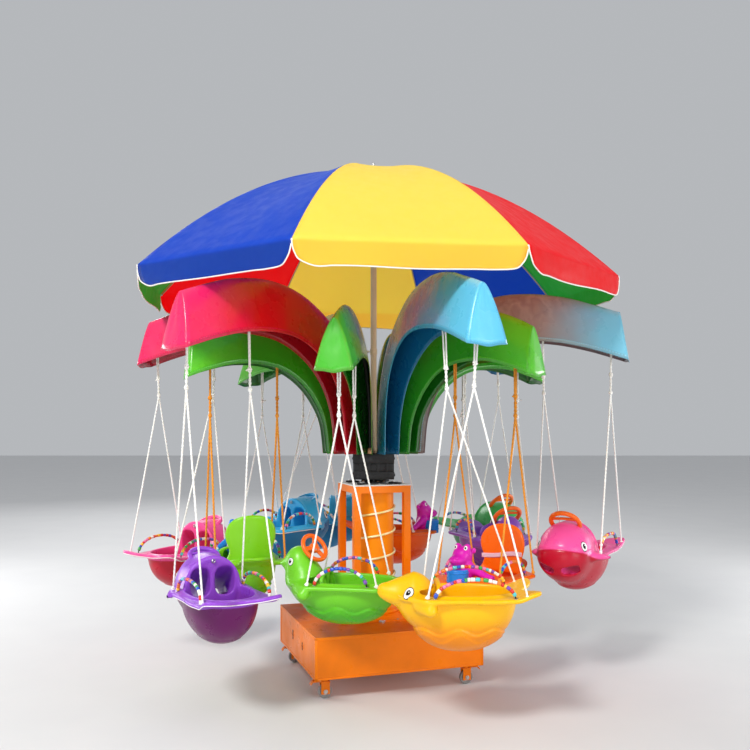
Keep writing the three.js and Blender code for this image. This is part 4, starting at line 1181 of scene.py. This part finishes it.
class Field:
    """A signed distance on a grid."""

    def __init__(self, low, high, step):
        self.low, self.step = np.array(low, float), step
        axes = [np.arange(a, b + step, step) for a, b in zip(low, high)]
        self.x, self.y, self.z = axes[0][:, None, None], axes[1][None, :, None], axes[2][None, None, :]
        self.d = np.full([len(a) for a in axes], 0.5)

    def add(self, k, *shapes):
        """Joins shapes; k is how far the joint is blended."""
        for shape in shapes:
            self.d = smin(self.d, shape(self.x, self.y, self.z), k)

    def carve(self, height, radius, ahead):
        """A shallow groove where the surface meets the sheet z = height(x, y), ahead of that x."""
        tool = bead(self.z - height(self.x, self.y), self.d, radius)
        self.d = np.where(self.x > ahead, smax(self.d, -tool, 0.003), self.d)

    def sample(self, p):
        g = (p - self.low) / self.step
        i = np.clip(np.floor(g).astype(int), 0, np.array(self.d.shape) - 2)
        f = g - i
        total = 0
        for corner in itertools.product((0, 1), repeat=3):
            total = total + np.where(corner, f, 1 - f).prod(1) * self.d[tuple((i + corner).T)]
        return total

    def normals(self, p, reach=None):
        e = np.eye(3) * (reach or self.step)
        g = np.stack([self.sample(p + e[k]) - self.sample(p - e[k]) for k in range(3)], -1)
        return g / (np.linalg.norm(g, axis=1, keepdims=True) + 1e-12)

    def settle(self, p, rounds=3):
        """The points after they are moved onto the surface."""
        for _ in range(rounds):
            p = p - self.sample(p)[:, None] * self.normals(p)
        return p

    def surface(self):
        """Vertices and quads of the zero level, by surface nets."""
        d = self.d
        cells = tuple(np.array(d.shape) - 1)
        total, count = np.zeros((*cells, 3)), np.zeros(cells)
        for axis in range(3):
            others = [k for k in range(3) if k != axis]
            a, b = ends(d, axis, slice(None))
            crossing = (a < 0) != (b < 0)
            t = np.where(crossing, a / np.where(crossing, a - b, 1), 0)
            for offsets in itertools.product((0, 1), repeat=2):
                window = [slice(None)] * 3
                for k, offset in zip(others, offsets):
                    window[k] = slice(offset, offset + cells[k])
                crossed = crossing[tuple(window)]
                total[..., axis] += t[tuple(window)]
                for k, offset in zip(others, offsets):
                    total[..., k] += crossed * offset
                count += crossed
        live = count > 0
        index = np.full(cells, -1)
        index[live] = np.arange(live.sum())
        verts = self.low + self.step * (np.argwhere(live) + total[live] / count[live][:, None])
        quads = []
        for axis in range(3):
            others = [(axis + 1) % 3, (axis + 2) % 3]
            a, b = ends(d, axis, slice(1, -1))
            for order, found in ((1, (a < 0) & (b >= 0)), (-1, (a >= 0) & (b < 0))):
                corners = []
                for back in ((1, 1), (0, 1), (0, 0), (1, 0)):
                    cell = np.argwhere(found)
                    cell[:, others] += 1 - np.array(back)
                    corners.append(index[tuple(cell.T)])
                quads.append(np.stack(corners, -1)[:, ::order])
        return verts, np.concatenate(quads)


# Seats
def hull(depth, x, y, z):
    """Distance to the tub's outer skin, carried straight up above the rim."""
    n, sizes = HULL_POWER, (HULL_L, HULL_W, depth)
    p = [v / size for v, size in zip((np.abs(x), np.abs(y), np.maximum(RIM_TOP - z, 0)), sizes)]
    s = (p[0] ** n + p[1] ** n + p[2] ** n) ** (1 / n) + 1e-9
    slope = s ** (1 - n) * root(*(v ** (n - 1) / size for v, size in zip(p, sizes)))
    return (s - 1) / np.maximum(slope, 3.0)


def rim_lift(fluke, x, y):
    """How far the rim rises toward the tail; a fluke's two lobes also tip up."""
    if fluke:
        lobes = smooth_step(np.abs(y), 0.05, 0.19) * smooth_step(-x, 0.24, 0.33)
        return 0.024 * smooth_step(-x, 0.22, 0.36) + 0.012 * lobes
    return 0.050 * smooth_step(-x, 0.20, 0.37)


def tub(f, skin, depth, fluke, well_front, waves):
    """The hull with its moulded relief, the flange round it and the lip of the well."""
    x, y, z = f.x, f.y, f.z
    if waves:
        sway = 0.014 * np.cos(TAU * (x - 0.02) / WAVE_LENGTH)
        wave = RIM_TOP - 0.60 * depth + sway - 0.10 * np.abs(x) ** 1.5
        second = wave - 0.030 + 0.010 * np.cos(TAU * x / WAVE_LENGTH)
        swell = 0.0026 * np.exp(-(((z - wave) / 0.008 - 0.9) ** 2))
        outer = skin - 0.0062 * smooth_step(wave - z, -0.004, 0.004) + swell
        outer = outer - 0.0044 * smooth_step(second - z, -0.004, 0.004)
    else:
        keel = RIM_TOP - 0.80 * depth - 1.1 * y**2 - 0.5 * x**2
        outer = skin - 0.0030 * smooth_step(keel - z, -0.006, 0.006)
    f.d = np.maximum(outer, z - RIM_TOP)
    plan = outline_distance(smooth_outline(fluke), x[:, :, 0], y[:, :, 0])[..., None]
    f.d = smin(f.d, slab(plan, z - rim_lift(fluke, x, y) - (RIM_TOP - 0.0105), 0.0015, 0.009), 0.014)
    lip = bead(skin + 0.011, z - RIM_TOP + 0.001, LIP_RADIUS)
    f.d = smin(f.d, np.maximum(lip, x - well_front), 0.010)


def dig(f, skin, well_front, leg_top=None):
    """Hollows the tub for the child, and the leg room ahead of the well under its deck."""
    well = smax(skin + WALL, f.x - well_front, 0.02)
    if leg_top is not None:
        legs = smax(smax(skin + WALL, f.z - leg_top, 0.02), f.x - LEG_ROOM_FRONT, 0.02)
        well = np.minimum(well, legs)
    f.d = smax(f.d, -well, 0.007)


def leg_panel(f, skin, x0, rise):
    """The upright panel with its two leg openings."""
    place = f.x, f.y, f.z
    upper = np.maximum((arch_of(f.y, f.z, 0.128, 0.1 * rise, 0.9 * rise) - 1) * 0.09, RIM_TOP - 0.01 - f.z)
    lower = np.maximum(skin + 0.004, f.z - RIM_TOP)
    panel = slab(np.minimum(upper, lower), f.x - x0, 0.003, 0.007)
    for side in BOTH:
        hole = rounded_block((x0, side * 0.058, RIM_TOP - 0.030), (0.05, 0.036, 0.060), 0.030, *place)
        panel = smax(panel, -hole, 0.008)
    f.d = smin(f.d, panel, 0.006)


def whale_face(x, y, z):
    """The whale's head: a dome that stays wide toward the child and ends in a low blunt nose."""
    blunt = np.where(x < 0.19, 0.19 - (0.19 - x) * 0.5, x)
    dome = egg((0.200, 0, -0.006), (0.160, 0.150, 0.168))(blunt, y, z)
    return smin(dome, egg((0.272, 0, -0.020), (0.100, 0.126, 0.104))(x, y, z), 0.04)


def whale_mouth(x, y):
    """Height of the long mouth line, which drops toward the cheeks."""
    return 0.034 + 0.12 * (0.36 - x) - 1.6 * y**2


def whale(f, skin):
    face = whale_face(f.x, f.y, f.z)
    f.d = smin(f.d, smax(face, 0.088 - f.x, 0.012), 0.026)
    f.d = smin(f.d, np.maximum(bead(f.x - 0.095, face + 0.003, LIP_RADIUS), RIM_TOP - f.z), 0.007)
    dig(f, skin, 0.088)
    t = np.clip((f.x - 0.09) / 0.28, 0, 1)
    mid, tall, wide = 0.034 - 0.132 * t, 0.070 - 0.045 * t, 0.051 - 0.010 * t
    for side in BOTH:
        q = (np.abs((f.y - side * 0.063) / wide) ** 3 + np.abs((f.z - mid) / tall) ** 3) ** (1 / 3)
        f.d = smax(f.d, -np.maximum((q - 1) * np.minimum(tall, wide), 0.06 - f.x), 0.008)
    f.add(0.018, *limbs((0.190, 0.146, -0.022), (0.118, 0.222, -0.028), 0.038, 0.010, 0.62))
    f.carve(whale_mouth, 0.0048, 0.20)


def dolphin(f, skin):
    f.add(0.035, egg((0.200, 0, -0.050), (0.088, 0.112, 0.100)))
    f.add(0.030, limb((0.226, 0, -0.012), (0.352, 0, 0.002), 0.098, 0.031, (1, 0.84, 1)))
    f.add(0.022, egg((0.290, 0, -0.020), (0.088, 0.054, 0.046), -8))
    f.add(0.025, *limbs((0.176, 0.130, -0.048), (0.146, 0.180, -0.062), 0.046, 0.031, 0.85))
    dig(f, skin, 0.115, 0.012)
    leg_panel(f, skin, 0.105, 0.060)
    f.carve(lambda x, y: -0.006 - 0.16 * (0.37 - x), 0.0034, 0.270)


def bird(f, skin):
    f.add(0.035, egg((0.202, 0, -0.024), (0.090, 0.106, 0.104)))
    f.add(0.035, egg((0.236, 0, 0.026), (0.082, 0.082, 0.098)))
    f.add(0.030, egg((0.246, 0, 0.090), (0.066, 0.064, 0.070)))
    f.add(0.024, limb((0.272, 0, 0.086), (0.316, 0, 0.070), 0.044, 0.024))
    f.add(0.012, limb((0.312, 0, 0.074), (0.346, 0, 0.067), 0.022, 0.007, (1, 1.1, 0.8)))
    f.add(0.025, *limbs((0.204, 0.130, -0.046), (0.182, 0.184, -0.052), 0.044, 0.032, 0.85))
    dig(f, skin, 0.115, 0.012)
    leg_panel(f, skin, 0.105, 0.060)
    f.carve(lambda x, y: 0.062 + 0.10 * (0.36 - x), 0.0030, 0.300)


def pelican(f, skin):
    f.add(0.035, egg((0.195, 0, -0.040), (0.090, 0.112, 0.105)))
    f.add(0.030, egg((0.226, 0, 0.036), (0.090, 0.078, 0.086)))
    f.add(0.028, *limbs((0.178, 0.140, -0.045), (0.118, 0.196, -0.056), 0.034, 0.020, 0.8))
    dig(f, skin, 0.115, 0.012)
    leg_panel(f, skin, 0.105, 0.080)


def back_x(y, z):
    """Where the middle of a chair's curved back stands."""
    return BACK_X + BACK_BEND * (np.abs(y) / 0.14) ** 2 - BACK_LEAN * z


def chair(f, skin):
    dig(f, skin, 0.24)
    waist = 0.132 - 0.020 * np.exp(-((f.z - 0.055) / 0.045) ** 2)
    outline = (arch_of(f.y, f.z, waist, 0.140, 0.110) - 1) * 0.11
    off = f.x - back_x(f.y, np.clip(f.z, 0, 0.3))
    f.d = smin(f.d, slab(np.maximum(outline, RIM_TOP - 0.012 - f.z), off, 0.003, 0.009), 0.016)
    f.d = smin(f.d, np.maximum(bead(outline + 0.006, off, LIP_RADIUS), RIM_TOP - f.z), 0.006)
    leg_panel(f, skin, 0.130, 0.050)


ANIMALS = {"whale": (whale, 0.092), "dolphin": (dolphin, 0.118), "bird": (bird, 0.118),
           "pelican": (pelican, 0.118), "chair": (chair, 0.24)}  # with the front of the well's lip


def seat_field(kind, depth, fluke):
    f = Field((-0.385, -0.222, RIM_TOP - depth - 0.02), (0.392, 0.222, 0.27), SEAT_STEP)
    shape, well_front = ANIMALS[kind]
    skin = hull(depth, f.x, f.y, f.z)
    tub(f, skin, depth, fluke, well_front, kind != "whale")
    shape(f, skin)
    return f


def thinned(mesh, target):
    """The mesh with no more than about that many triangles."""
    helper = link("helper", mesh)
    mod = helper.modifiers.new("thin", "DECIMATE")
    mod.ratio = min(1.0, target / sum(len(p.vertices) - 2 for p in mesh.polygons))
    graph = bpy.context.evaluated_depsgraph_get()
    made = bpy.data.meshes.new_from_object(helper.evaluated_get(graph))
    bpy.data.objects.remove(helper)
    bpy.data.meshes.remove(mesh)
    return made


def field_mesh(field, target):
    """The field's surface as a smooth mesh, with its vertices' places and normals."""
    verts, quads = field.surface()
    verts = field.settle(verts, 2)
    mesh = thinned(raw_mesh("surface", verts, [quads], np.zeros(len(quads)), {}), target)
    p = np.empty(len(mesh.vertices) * 3, np.float32)
    mesh.vertices.foreach_get("co", p)
    p = p.reshape(-1, 3).astype(float)
    normals = field.normals(p)
    mesh.polygons.foreach_set("use_smooth", np.ones(len(mesh.polygons), bool))
    mesh.normals_split_custom_set_from_vertices([tuple(n) for n in normals])
    return mesh, p, normals


def seat_mesh(field, kind, depth):
    mesh, p, normals = field_mesh(field, SEAT_TRIS)
    x, y, z = p.T
    # belly: the share of the underside colour; a sharp two-tone line on the whales, on the other tubs a soft
    # darkening toward the bottom that is painted shade
    border, soft = RIM_TOP - 0.5 * depth, 0.07
    if kind == "whale":
        side_line = RIM_TOP - 0.024
        border = side_line + smooth_step(x, 0.17, 0.31) * (whale_mouth(x, y) - 0.003 - side_line)
        soft = 0.004
    # the inside of the tub takes less of the underside colour, and the whale's tunnels almost none: painted
    # light inside the tunnels
    inside = (hull(depth, x, y, z) < -0.012) & (x < 0.1)
    belly = smooth_step(border - z, -soft, soft) * np.where(inside, 0.35, 1.0)
    if kind == "whale":
        belly = np.where(whale_face(x, y, z) < -0.010, 0.12, belly)
    set_value(mesh, "belly", belly)
    set_value(mesh, "scuff", smooth_step(-z, 0.12, 0.25) * 0.8 + 0.25)
    # groove: how deep a point lies in a recess, which the plastic paints as shade
    reach = 0.009
    steepness = (field.sample(p + normals * 0.003) - field.sample(p - normals * 0.003)) / 0.006
    cavity = 1 - field.sample(p + normals * reach) / (reach * np.maximum(steepness, 0.3))
    set_value(mesh, "groove", smooth_step(cavity, 0.35, 0.8))
    return mesh


def patch_disc(field, centre, normal, radii, height, level, rings=7, sides=28):
    """A shallow button that follows the surface, for eyes."""
    up = np.array([0, 0, 1]) - normal * normal[2]
    up /= np.linalg.norm(up) + 1e-9
    across = np.cross(up, normal)
    share = np.sin(line(0, math.pi / 2, rings))
    a = TAU * np.arange(sides) / sides
    ring = radii[0] * np.cos(a)[:, None] * across + radii[1] * np.sin(a)[:, None] * up
    verts = field.settle((centre + share[:, None, None] * ring).reshape(-1, 3))
    lift = height * np.sqrt(np.maximum(0, 1 - share**4)) + np.where(share < 0.999, level, -0.0006)
    return verts + field.normals(verts, 0.012) * lift.repeat(sides)[:, None], [grid_faces(rings, sides, True)]


EYES = {  # x, z, half the width and half the height
    "whale": (0.280, 0.044, 0.0205, 0.0260), "dolphin": (0.242, 0.002, 0.0225, 0.0300),
    "bird": (0.276, 0.088, 0.0155, 0.019), "pelican": (0.255, 0.052, 0.017, 0.021)}


def eye_shape(field, kind):
    x, z, wide, tall = EYES[kind]
    shape = Shape()
    for side in BOTH:
        ray = np.stack(np.broadcast_arrays(x, side * line(0.215, 0.0, 431), z), -1)
        hit = int(np.argmax(field.sample(ray) < 0))
        centre = field.settle(ray[hit:hit + 1])
        normal = field.normals(centre, 0.012)[0]
        centre = centre[0]
        inner = centre + (0.002, 0, 0.001)
        shape.add(patch_disc(field, centre, normal, (wide * 1.13, tall * 1.13), 0.0012, 0.0), 1)
        shape.add(patch_disc(field, centre, normal, (wide, tall), 0.0022, 0.0006), 0)
        shape.add(patch_disc(field, inner, normal, (wide * 0.52, tall * 0.56), 0.0026, 0.0020), 1)
        glint = inner + (-0.003, 0, 0.005)
        shape.add(patch_disc(field, glint, normal, (wide * 0.15, tall * 0.15), 0.0012, 0.0046, 4, 12), 0)
    return shape


GRIP_THICK = 0.0128


def hoop_shape(x, z, radius, tilt):
    """A moulded grab ring whose plane is turned about Y, with a low cross bar."""
    spin = Matrix.Translation((x, 0, z)) @ Matrix.Rotation(tilt, 4, "Y")
    bar = [(radius * 0.35 + bow, radius * y * 0.92, 0)
           for y, bow in ((-1, 0), (-0.45, 0.004), (0, 0.006), (0.45, 0.004), (1, 0))]
    shape = Shape().add(torus(radius, GRIP_THICK, 48, 14), 0, spin)
    return shape.add(tube(spline(bar, 20), GRIP_THICK * 0.62), 0, spin)


def flange_edging(fluke):
    """The pale bead under the lip of a whale's rim, from cheek to cheek round the tail."""
    outline = smooth_outline(fluke)
    along = np.roll(outline, -1, axis=0) - np.roll(outline, 1, axis=0)
    inward = np.stack([-along[:, 1], along[:, 0]], -1) / np.linalg.norm(along, axis=1)[:, None]
    if np.sum(inward * outline) > 0:
        inward = -inward
    edge = np.roll(outline + inward * 0.0030, -int(np.argmax(outline[:, 0])), axis=0)
    edge = edge[edge[:, 0] < 0.150]
    path = np.column_stack([edge, RIM_TOP - 0.0180 + rim_lift(fluke, *edge.T)])
    return tube(spline(path[::3], 220), 0.0027, 7)


def wheel_shape():
    """A three-spoked steering wheel on its column."""
    centre, radius = (0.168, 0, 0.152), 0.070
    swing, tilt = -0.55, -0.95
    shape = Shape()
    spin = Matrix.Translation(centre) @ Matrix.Rotation(swing, 4, "Z") @ Matrix.Rotation(tilt, 4, "Y")
    shape.add(torus(radius, 0.011, 48, 14), 0, spin)
    for k in range(3):
        web = block((radius * 0.86, 0.026, 0.012), (radius * 0.47, 0, 0), 0.005, 3)
        shape.add(web, 0, turn_z(math.radians(90 + 120 * k)), spin)
        shape.add(bolt(0.0035), 1, around(0.018, 30 + 120 * k, 0.0115), spin)
    hub = [(0, -0.010), (0.027, -0.010), (0.027, 0.010), (0.012, 0.014), (0, 0.014)]
    shape.add(turned(hub, 0.003, 3, 28), 0, spin)
    return shape.add(tube(line(centre, (0.225, 0, 0.09), 6), 0.012, 14))


def figure_field():
    """A plain sitting animal with a broad muzzle, two eye bumps and arms along the rim."""
    f = Field((0.11, -0.17, -0.075), (0.33, 0.17, 0.20), BLOB_STEP)
    f.add(0, egg((0.204, 0, 0.030), (0.050, 0.056, 0.088)))
    f.add(0.028, egg((0.208, 0, 0.122), (0.048, 0.053, 0.046)))
    f.add(0.02, egg((0.256, 0, 0.100), (0.044, 0.042, 0.028)))
    arm = limbs((0.206, 0.044, 0.060), (0.160, 0.128, 0.012), 0.026, 0.016)
    for side, limb_there in zip(BOTH, arm):
        f.add(0.012, egg((0.206, side * 0.028, 0.162), (0.019, 0.019, 0.021)))
        f.add(0.008, egg((0.174, side * 0.046, 0.146), (0.010, 0.014, 0.016)))
        f.add(0.02, limb_there)
        f.add(0.012, egg((0.146, side * 0.136, 0.010), (0.022, 0.016, 0.014)))
        nostril = egg((0.290, side * 0.017, 0.114), (0.010, 0.0045, 0.006))
        f.d = smax(f.d, -nostril(f.x, f.y, f.z), 0.004)
    f.carve(lambda x, y: 0.090 + 1.2 * y**2, 0.0032, 0.24)
    return f


def figure_eyes(field):
    shape = Shape()
    for side in BOTH:
        centre = field.settle(np.array([[0.226, side * 0.031, 0.163]]))
        normal = field.normals(centre, 0.008)[0]
        pupil = centre[0] + (0.002, 0, 0)
        shape.add(patch_disc(field, centre[0], normal, (0.0105, 0.0125), 0.0016, 0.0, 5, 20), 0)
        shape.add(patch_disc(field, pupil, normal, (0.0052, 0.0065), 0.0014, 0.0016, 5, 16), 1)
    return shape


def beak_field():
    """A long upper bill over a deep pouch."""
    f = Field((0.24, -0.06, -0.09), (0.392, 0.06, 0.075), BLOB_STEP)
    f.add(0, limb((0.288, 0, 0.030), (0.366, 0, -0.004), 0.026, 0.007, (1, 1.1, 0.7)))
    f.add(0.012, egg((0.312, 0, -0.022), (0.054, 0.031, 0.044), 30))
    f.carve(lambda x, y: 0.012 - 0.30 * (x - 0.30), 0.0035, 0.285)
    return f


def pot_shape():
    """The open tub that the figure sits at, with two hoops."""
    profile = [(0, -0.03), (0.056, -0.03), (0.056, 0.052), (0.050, 0.058), (0.050, 0.052), (0, 0.052)]
    shape = Shape().add(turned(profile, 0.004, 3, 36), 0, (0.252, 0, 0))
    for rise in (-0.004, 0.040):
        shape.add(torus(0.0563, 0.003, 36), 0, (0.252, 0, rise))
    return shape


def strap_shape():
    """The webbing across the front of a chair's back."""
    y, v = line(-0.127, 0.127, 41)[:, None], line(-0.012, 0.012, 7)[None]
    z = 0.078 + 0.10 * y + v + 0.004 * np.sin(26 * y)
    x = back_x(y, z) + 0.0145 + 0.001 * np.cos(v / 0.012 * 9) + 0.003 * np.cos(18 * y)
    return Shape().add(sheet_part(np.dstack(np.broadcast_arrays(x, y, z)), along=y, across=v, seam=0.05))


# Ropes and beads
SPLIT_DROP, KNOT_DROP = 0.415, 0.310
FRONT_HOLD, REAR_HOLD, FLUKE_HOLD = 0.160, -0.185, -0.285
BEAD_SIDE, BEAD_RISE, BEAD_FRONT, BEAD_INSET = 0.170, 0.088, 0.128, 0.052


def add_knot(shape, centre, axis, radius, rope):
    """Three tight turns round a core, as an overhand knot looks once it is drawn up."""
    for lift, tip, size in ((-0.55, 14, 0.86), (0.0, -12, 1.0), (0.55, 10, 0.86)):
        tilt = Matrix.Translation((0, 0, lift * radius)) @ Matrix.Rotation(math.radians(tip), 4, "X")
        shape.add(torus(radius * size - rope * 0.9, rope, 16, 6), 0, tilt, toward(axis, centre))


def rope_run(points, radius, spacing=0.0075):
    steps = max(8, int(travelled(np.array(points))[-1] / spacing))
    return tube(spline(points, steps), radius, 6, lobes=3, lobe_depth=0.15)


def rope_pair(top, holds, thick, seed):
    """A doubled stem with a knot, then two legs to the seat, all in the seat's frame."""
    rng = np.random.default_rng(seed)
    shape = Shape()
    top, foot = np.array(top), np.array([0, top[1], 0])
    down = (foot - top) / np.linalg.norm(foot - top)
    steep = np.linalg.norm(foot - top) / abs(foot[2] - top[2])
    split, tie, upper = (top + down * drop * steep for drop in (SPLIT_DROP, KNOT_DROP, 0.16))
    twist = line(0, 5 * math.pi, 26)
    for side in BOTH:
        wide = side * np.array([1.25 * thick, 0, 0])
        run = [top + wide * 0.6 + (0, 0, 0.008), top + wide - (0, 0, 0.02), upper + wide * 1.15,
               tie + wide * 0.8]
        shape.add(rope_run(run, thick * 0.92))
        turn = np.stack([np.cos(twist), np.sin(twist), 0 * twist], -1) * side
        shape.add(tube(line(tie, split, 26) + turn * (thick * 0.72), thick * 0.8, 6, lobes=3))
    shape.add(torus(0.0095, thick * 0.8, 20), 0, toward((0, 1, 0), top + (0, 0, 0.008)))
    add_knot(shape, top - (0, 0, 0.012), down, 0.0115, thick * 0.75)
    add_knot(shape, tie, down, 0.0125, thick * 0.85)
    add_knot(shape, split + (0, 0, 0.004), down, 0.0115, thick * 0.85)
    tail = rng.uniform(-1, 1, 3) * (1, 1, 0.3)
    shape.add(rope_run([tie, tie + tail * 0.014, tie + tail * 0.026 - (0, 0, 0.006)], thick * 0.7, 0.004))
    for x in holds:
        end = np.array([x, top[1], 0.0])
        lean = (end - split) / np.linalg.norm(end - split)
        leg = [split, split * 0.66 + end * 0.34, split * 0.33 + end * 0.67, end - lean * 0.004]
        shape.add(rope_run(leg, thick))
        add_knot(shape, end + (0, 0, 0.0015), lean, 0.0095, thick * 0.72)
        shape.add(rope_run([end, end + (0.006, 0, 0.002), end + (0.012, 0.002, -0.002)], thick * 0.6, 0.004))
    return shape


def bead_strings(rear, seed):
    """Mixed cylinder beads on a wire over each side of the rim."""
    rng = np.random.default_rng(seed)
    shape = Shape()
    behind = rear + BEAD_INSET
    middle, half = (BEAD_FRONT + behind) / 2, (BEAD_FRONT - behind) / 2
    angle = line(0, math.pi, 200)
    for side in BOTH:
        sideways = side * BEAD_SIDE + 0.004 * np.sin(angle * 3 + seed)
        path = np.stack([middle + half * np.cos(angle), sideways, RIM_TOP + BEAD_RISE * np.sin(angle)], -1)
        shape.add(tube(path[::4], 0.003, 8), 1)
        step = travelled(path)
        place = 0.007
        while place < step[-1] - 0.018:
            size = rng.choice([0.0125, 0.017, 0.021])
            fat = rng.uniform(0.0078, 0.0095)
            a, b = (np.array([np.interp(at, step, column) for column in path.T])
                    for at in (place, place + size))
            profile = [(0.002, 0), (fat, 0), (fat * 1.04, size / 2), (fat, size), (0.002, size)]
            made = turned(profile, 0.0018, 1, 10)
            colour = BEAD_COLOURS[rng.integers(len(BEAD_COLOURS))]
            shape.add(made, 0, toward(b - a, a), tint=np.tile(colour, (len(made[0]), 1)))
            place += size + 0.0012
        for x in (BEAD_FRONT, behind):
            grommet = turned([(0.004, 0), (0.009, 0), (0.009, 0.0025), (0.004, 0.003)], 0.0008, 1, 20)
            shape.add(grommet, 2, (x, side * BEAD_SIDE, RIM_TOP + 0.0005))
    return shape


# The twelve hanging seats: animal, depth of the tub and slot
SEATS = [("bird", 205, "seat_bird"), ("dolphin", 260, "seat_dolphin"), ("chair", 225, "seat_chair"),
         ("whale", 225, "seat_pink"), ("pelican", 225, "seat_pelican"), ("whale", 225, "seat_greenwhale"),
         ("chair", 225, "seat_chair"), ("whale", 215, "seat_teal"), ("whale", 215, "seat_teal"),
         ("whale", 215, "seat_pink"), ("chair", 225, "seat_limechair"), ("whale", 235, "seat_violet")]
PLAIN_GRIPS = (7, 8, 9, 11)
ORANGE_ROPES = (2, 10)
BLUE_FIGURE = 10
HOOPS = {("whale", 225): (0.212, 0.158, 0.079, -0.80), ("pelican", 225): (0.214, 0.118, 0.079, -0.75)}
SMALL_HOOP = (0.222, 0.142, 0.072, -0.40)
LOOK_ORDER = ("seat_skin", "eyes", "grip", "beak", "figure")
built = {}


def seat_looks(kind, depth, fluke):
    """Meshes of one sort of seat by the first word of their pieces' names."""
    field = seat_field(kind, depth * MM, fluke)
    made = {"seat_skin": seat_mesh(field, kind, depth * MM)}
    if kind in EYES:
        made["eyes"] = eye_shape(field, kind).mesh("eyes")
    if kind in ("whale", "pelican"):
        grip = hoop_shape(*HOOPS.get((kind, depth), SMALL_HOOP))
        if kind == "whale":
            grip.add(flange_edging(fluke), 2)
            grip.add(torus(0.0075, 0.0032, 24), 1, toward((1, 0, 0), (0.081, 0, 0.134)))
        made["grip"] = grip.mesh("grip")
    if kind == "bird":
        made["grip"] = wheel_shape().mesh("grip")
    if kind == "pelican":
        made["beak"] = field_mesh(beak_field(), BEAK_TRIS)[0]
    if kind == "chair":
        figure = figure_field()
        made["figure"] = field_mesh(figure, FIGURE_TRIS)[0]
        made["eyes"] = figure_eyes(figure).mesh("eyes")
    return made


for i, (kind, depth, skin_slot) in enumerate(SEATS):
    number = f"{i + 1:02d}"
    body = "seat_" + number
    level = joints["seat_level_" + number]
    ahead, hold = Vector(level["axis"]).normalized(), Vector(level["pos_m"])
    outside = Vector((0, 0, 1)).cross(ahead)
    outer, inner = (Vector(joints[key + number]["pos_m"]) for key in ("swing_", "inner_swing_"))
    middle = hold - outside * ((outer - inner).dot(outside) / 2)
    place = Matrix(((ahead.x, outside.x, 0, middle.x), (ahead.y, outside.y, 0, middle.y),
                    (ahead.z, outside.z, 1, middle.z), (0, 0, 0, 1)))
    key = (kind, depth, not is_low(i))
    if key not in built:
        built[key] = seat_looks(*key)
    materials = {"seat_skin": [skin_slot], "eyes": ["eye_white", "eye_black"], "beak": ["beak"],
                 "grip": [skin_slot if i in PLAIN_GRIPS else "hoop", "steel", "edging"],
                 "figure": ["drum_blue" if i == BLUE_FIGURE else "figure"]}
    for word in LOOK_ORDER:
        if word in built[key]:
            mesh = built[key][word].copy()
            mesh.name = name = f"{word}_{number}"
            skin = {"slot": skin_slot, "replaces": [body]} if word == "seat_skin" else {}
            sharp = 45 if word == "grip" else None
            piece(name, mesh, body, materials[word], matrix=place, sharp=sharp, **skin)
    if kind == "chair":
        thicken(piece("strap_" + number, strap_shape(), body, ["strap"], matrix=place), 0.0022, 0, 0)
        piece("drum_" + number, pot_shape(), body, ["drum_blue"], matrix=place, sharp=40)
    rear = REAR_HOLD if is_low(i) else FLUKE_HOLD
    piece("beads_" + number, bead_strings(rear, 100 + i), body, ["beads", "black", "steel"], matrix=place)
    colour, thick = ("orange", 0.0056) if i in ORANGE_ROPES else ("white", 0.0047)
    for k, (word, pivot) in enumerate((("outer", outer), ("inner", inner))):
        shape = rope_pair(place.inverted() @ pivot, (FRONT_HOLD, rear), thick, 7 * i + k)
        node = f"{word}_ropes_{number}"
        piece(f"{word}_rope_set_{number}", shape, node, [colour + "_rope"], "rope_" + colour, [node], place)


# Floor
floor_mesh = bpy.data.meshes.new("floor")
floor_mesh.from_pydata([(-30, -30, 0), (30, -30, 0), (30, 30, 0), (-30, 30, 0)], [], [(0, 1, 2, 3)])
floor_graph = Graph("floor", Roughness=0.75)
floor_tone = floor_graph.mix(floor_graph.noise(2.0, 3), (0.66, 0.66, 0.67), (0.72, 0.72, 0.72))
floor_mesh.materials.append(floor_graph.finish(floor_tone))
link("floor", floor_mesh)
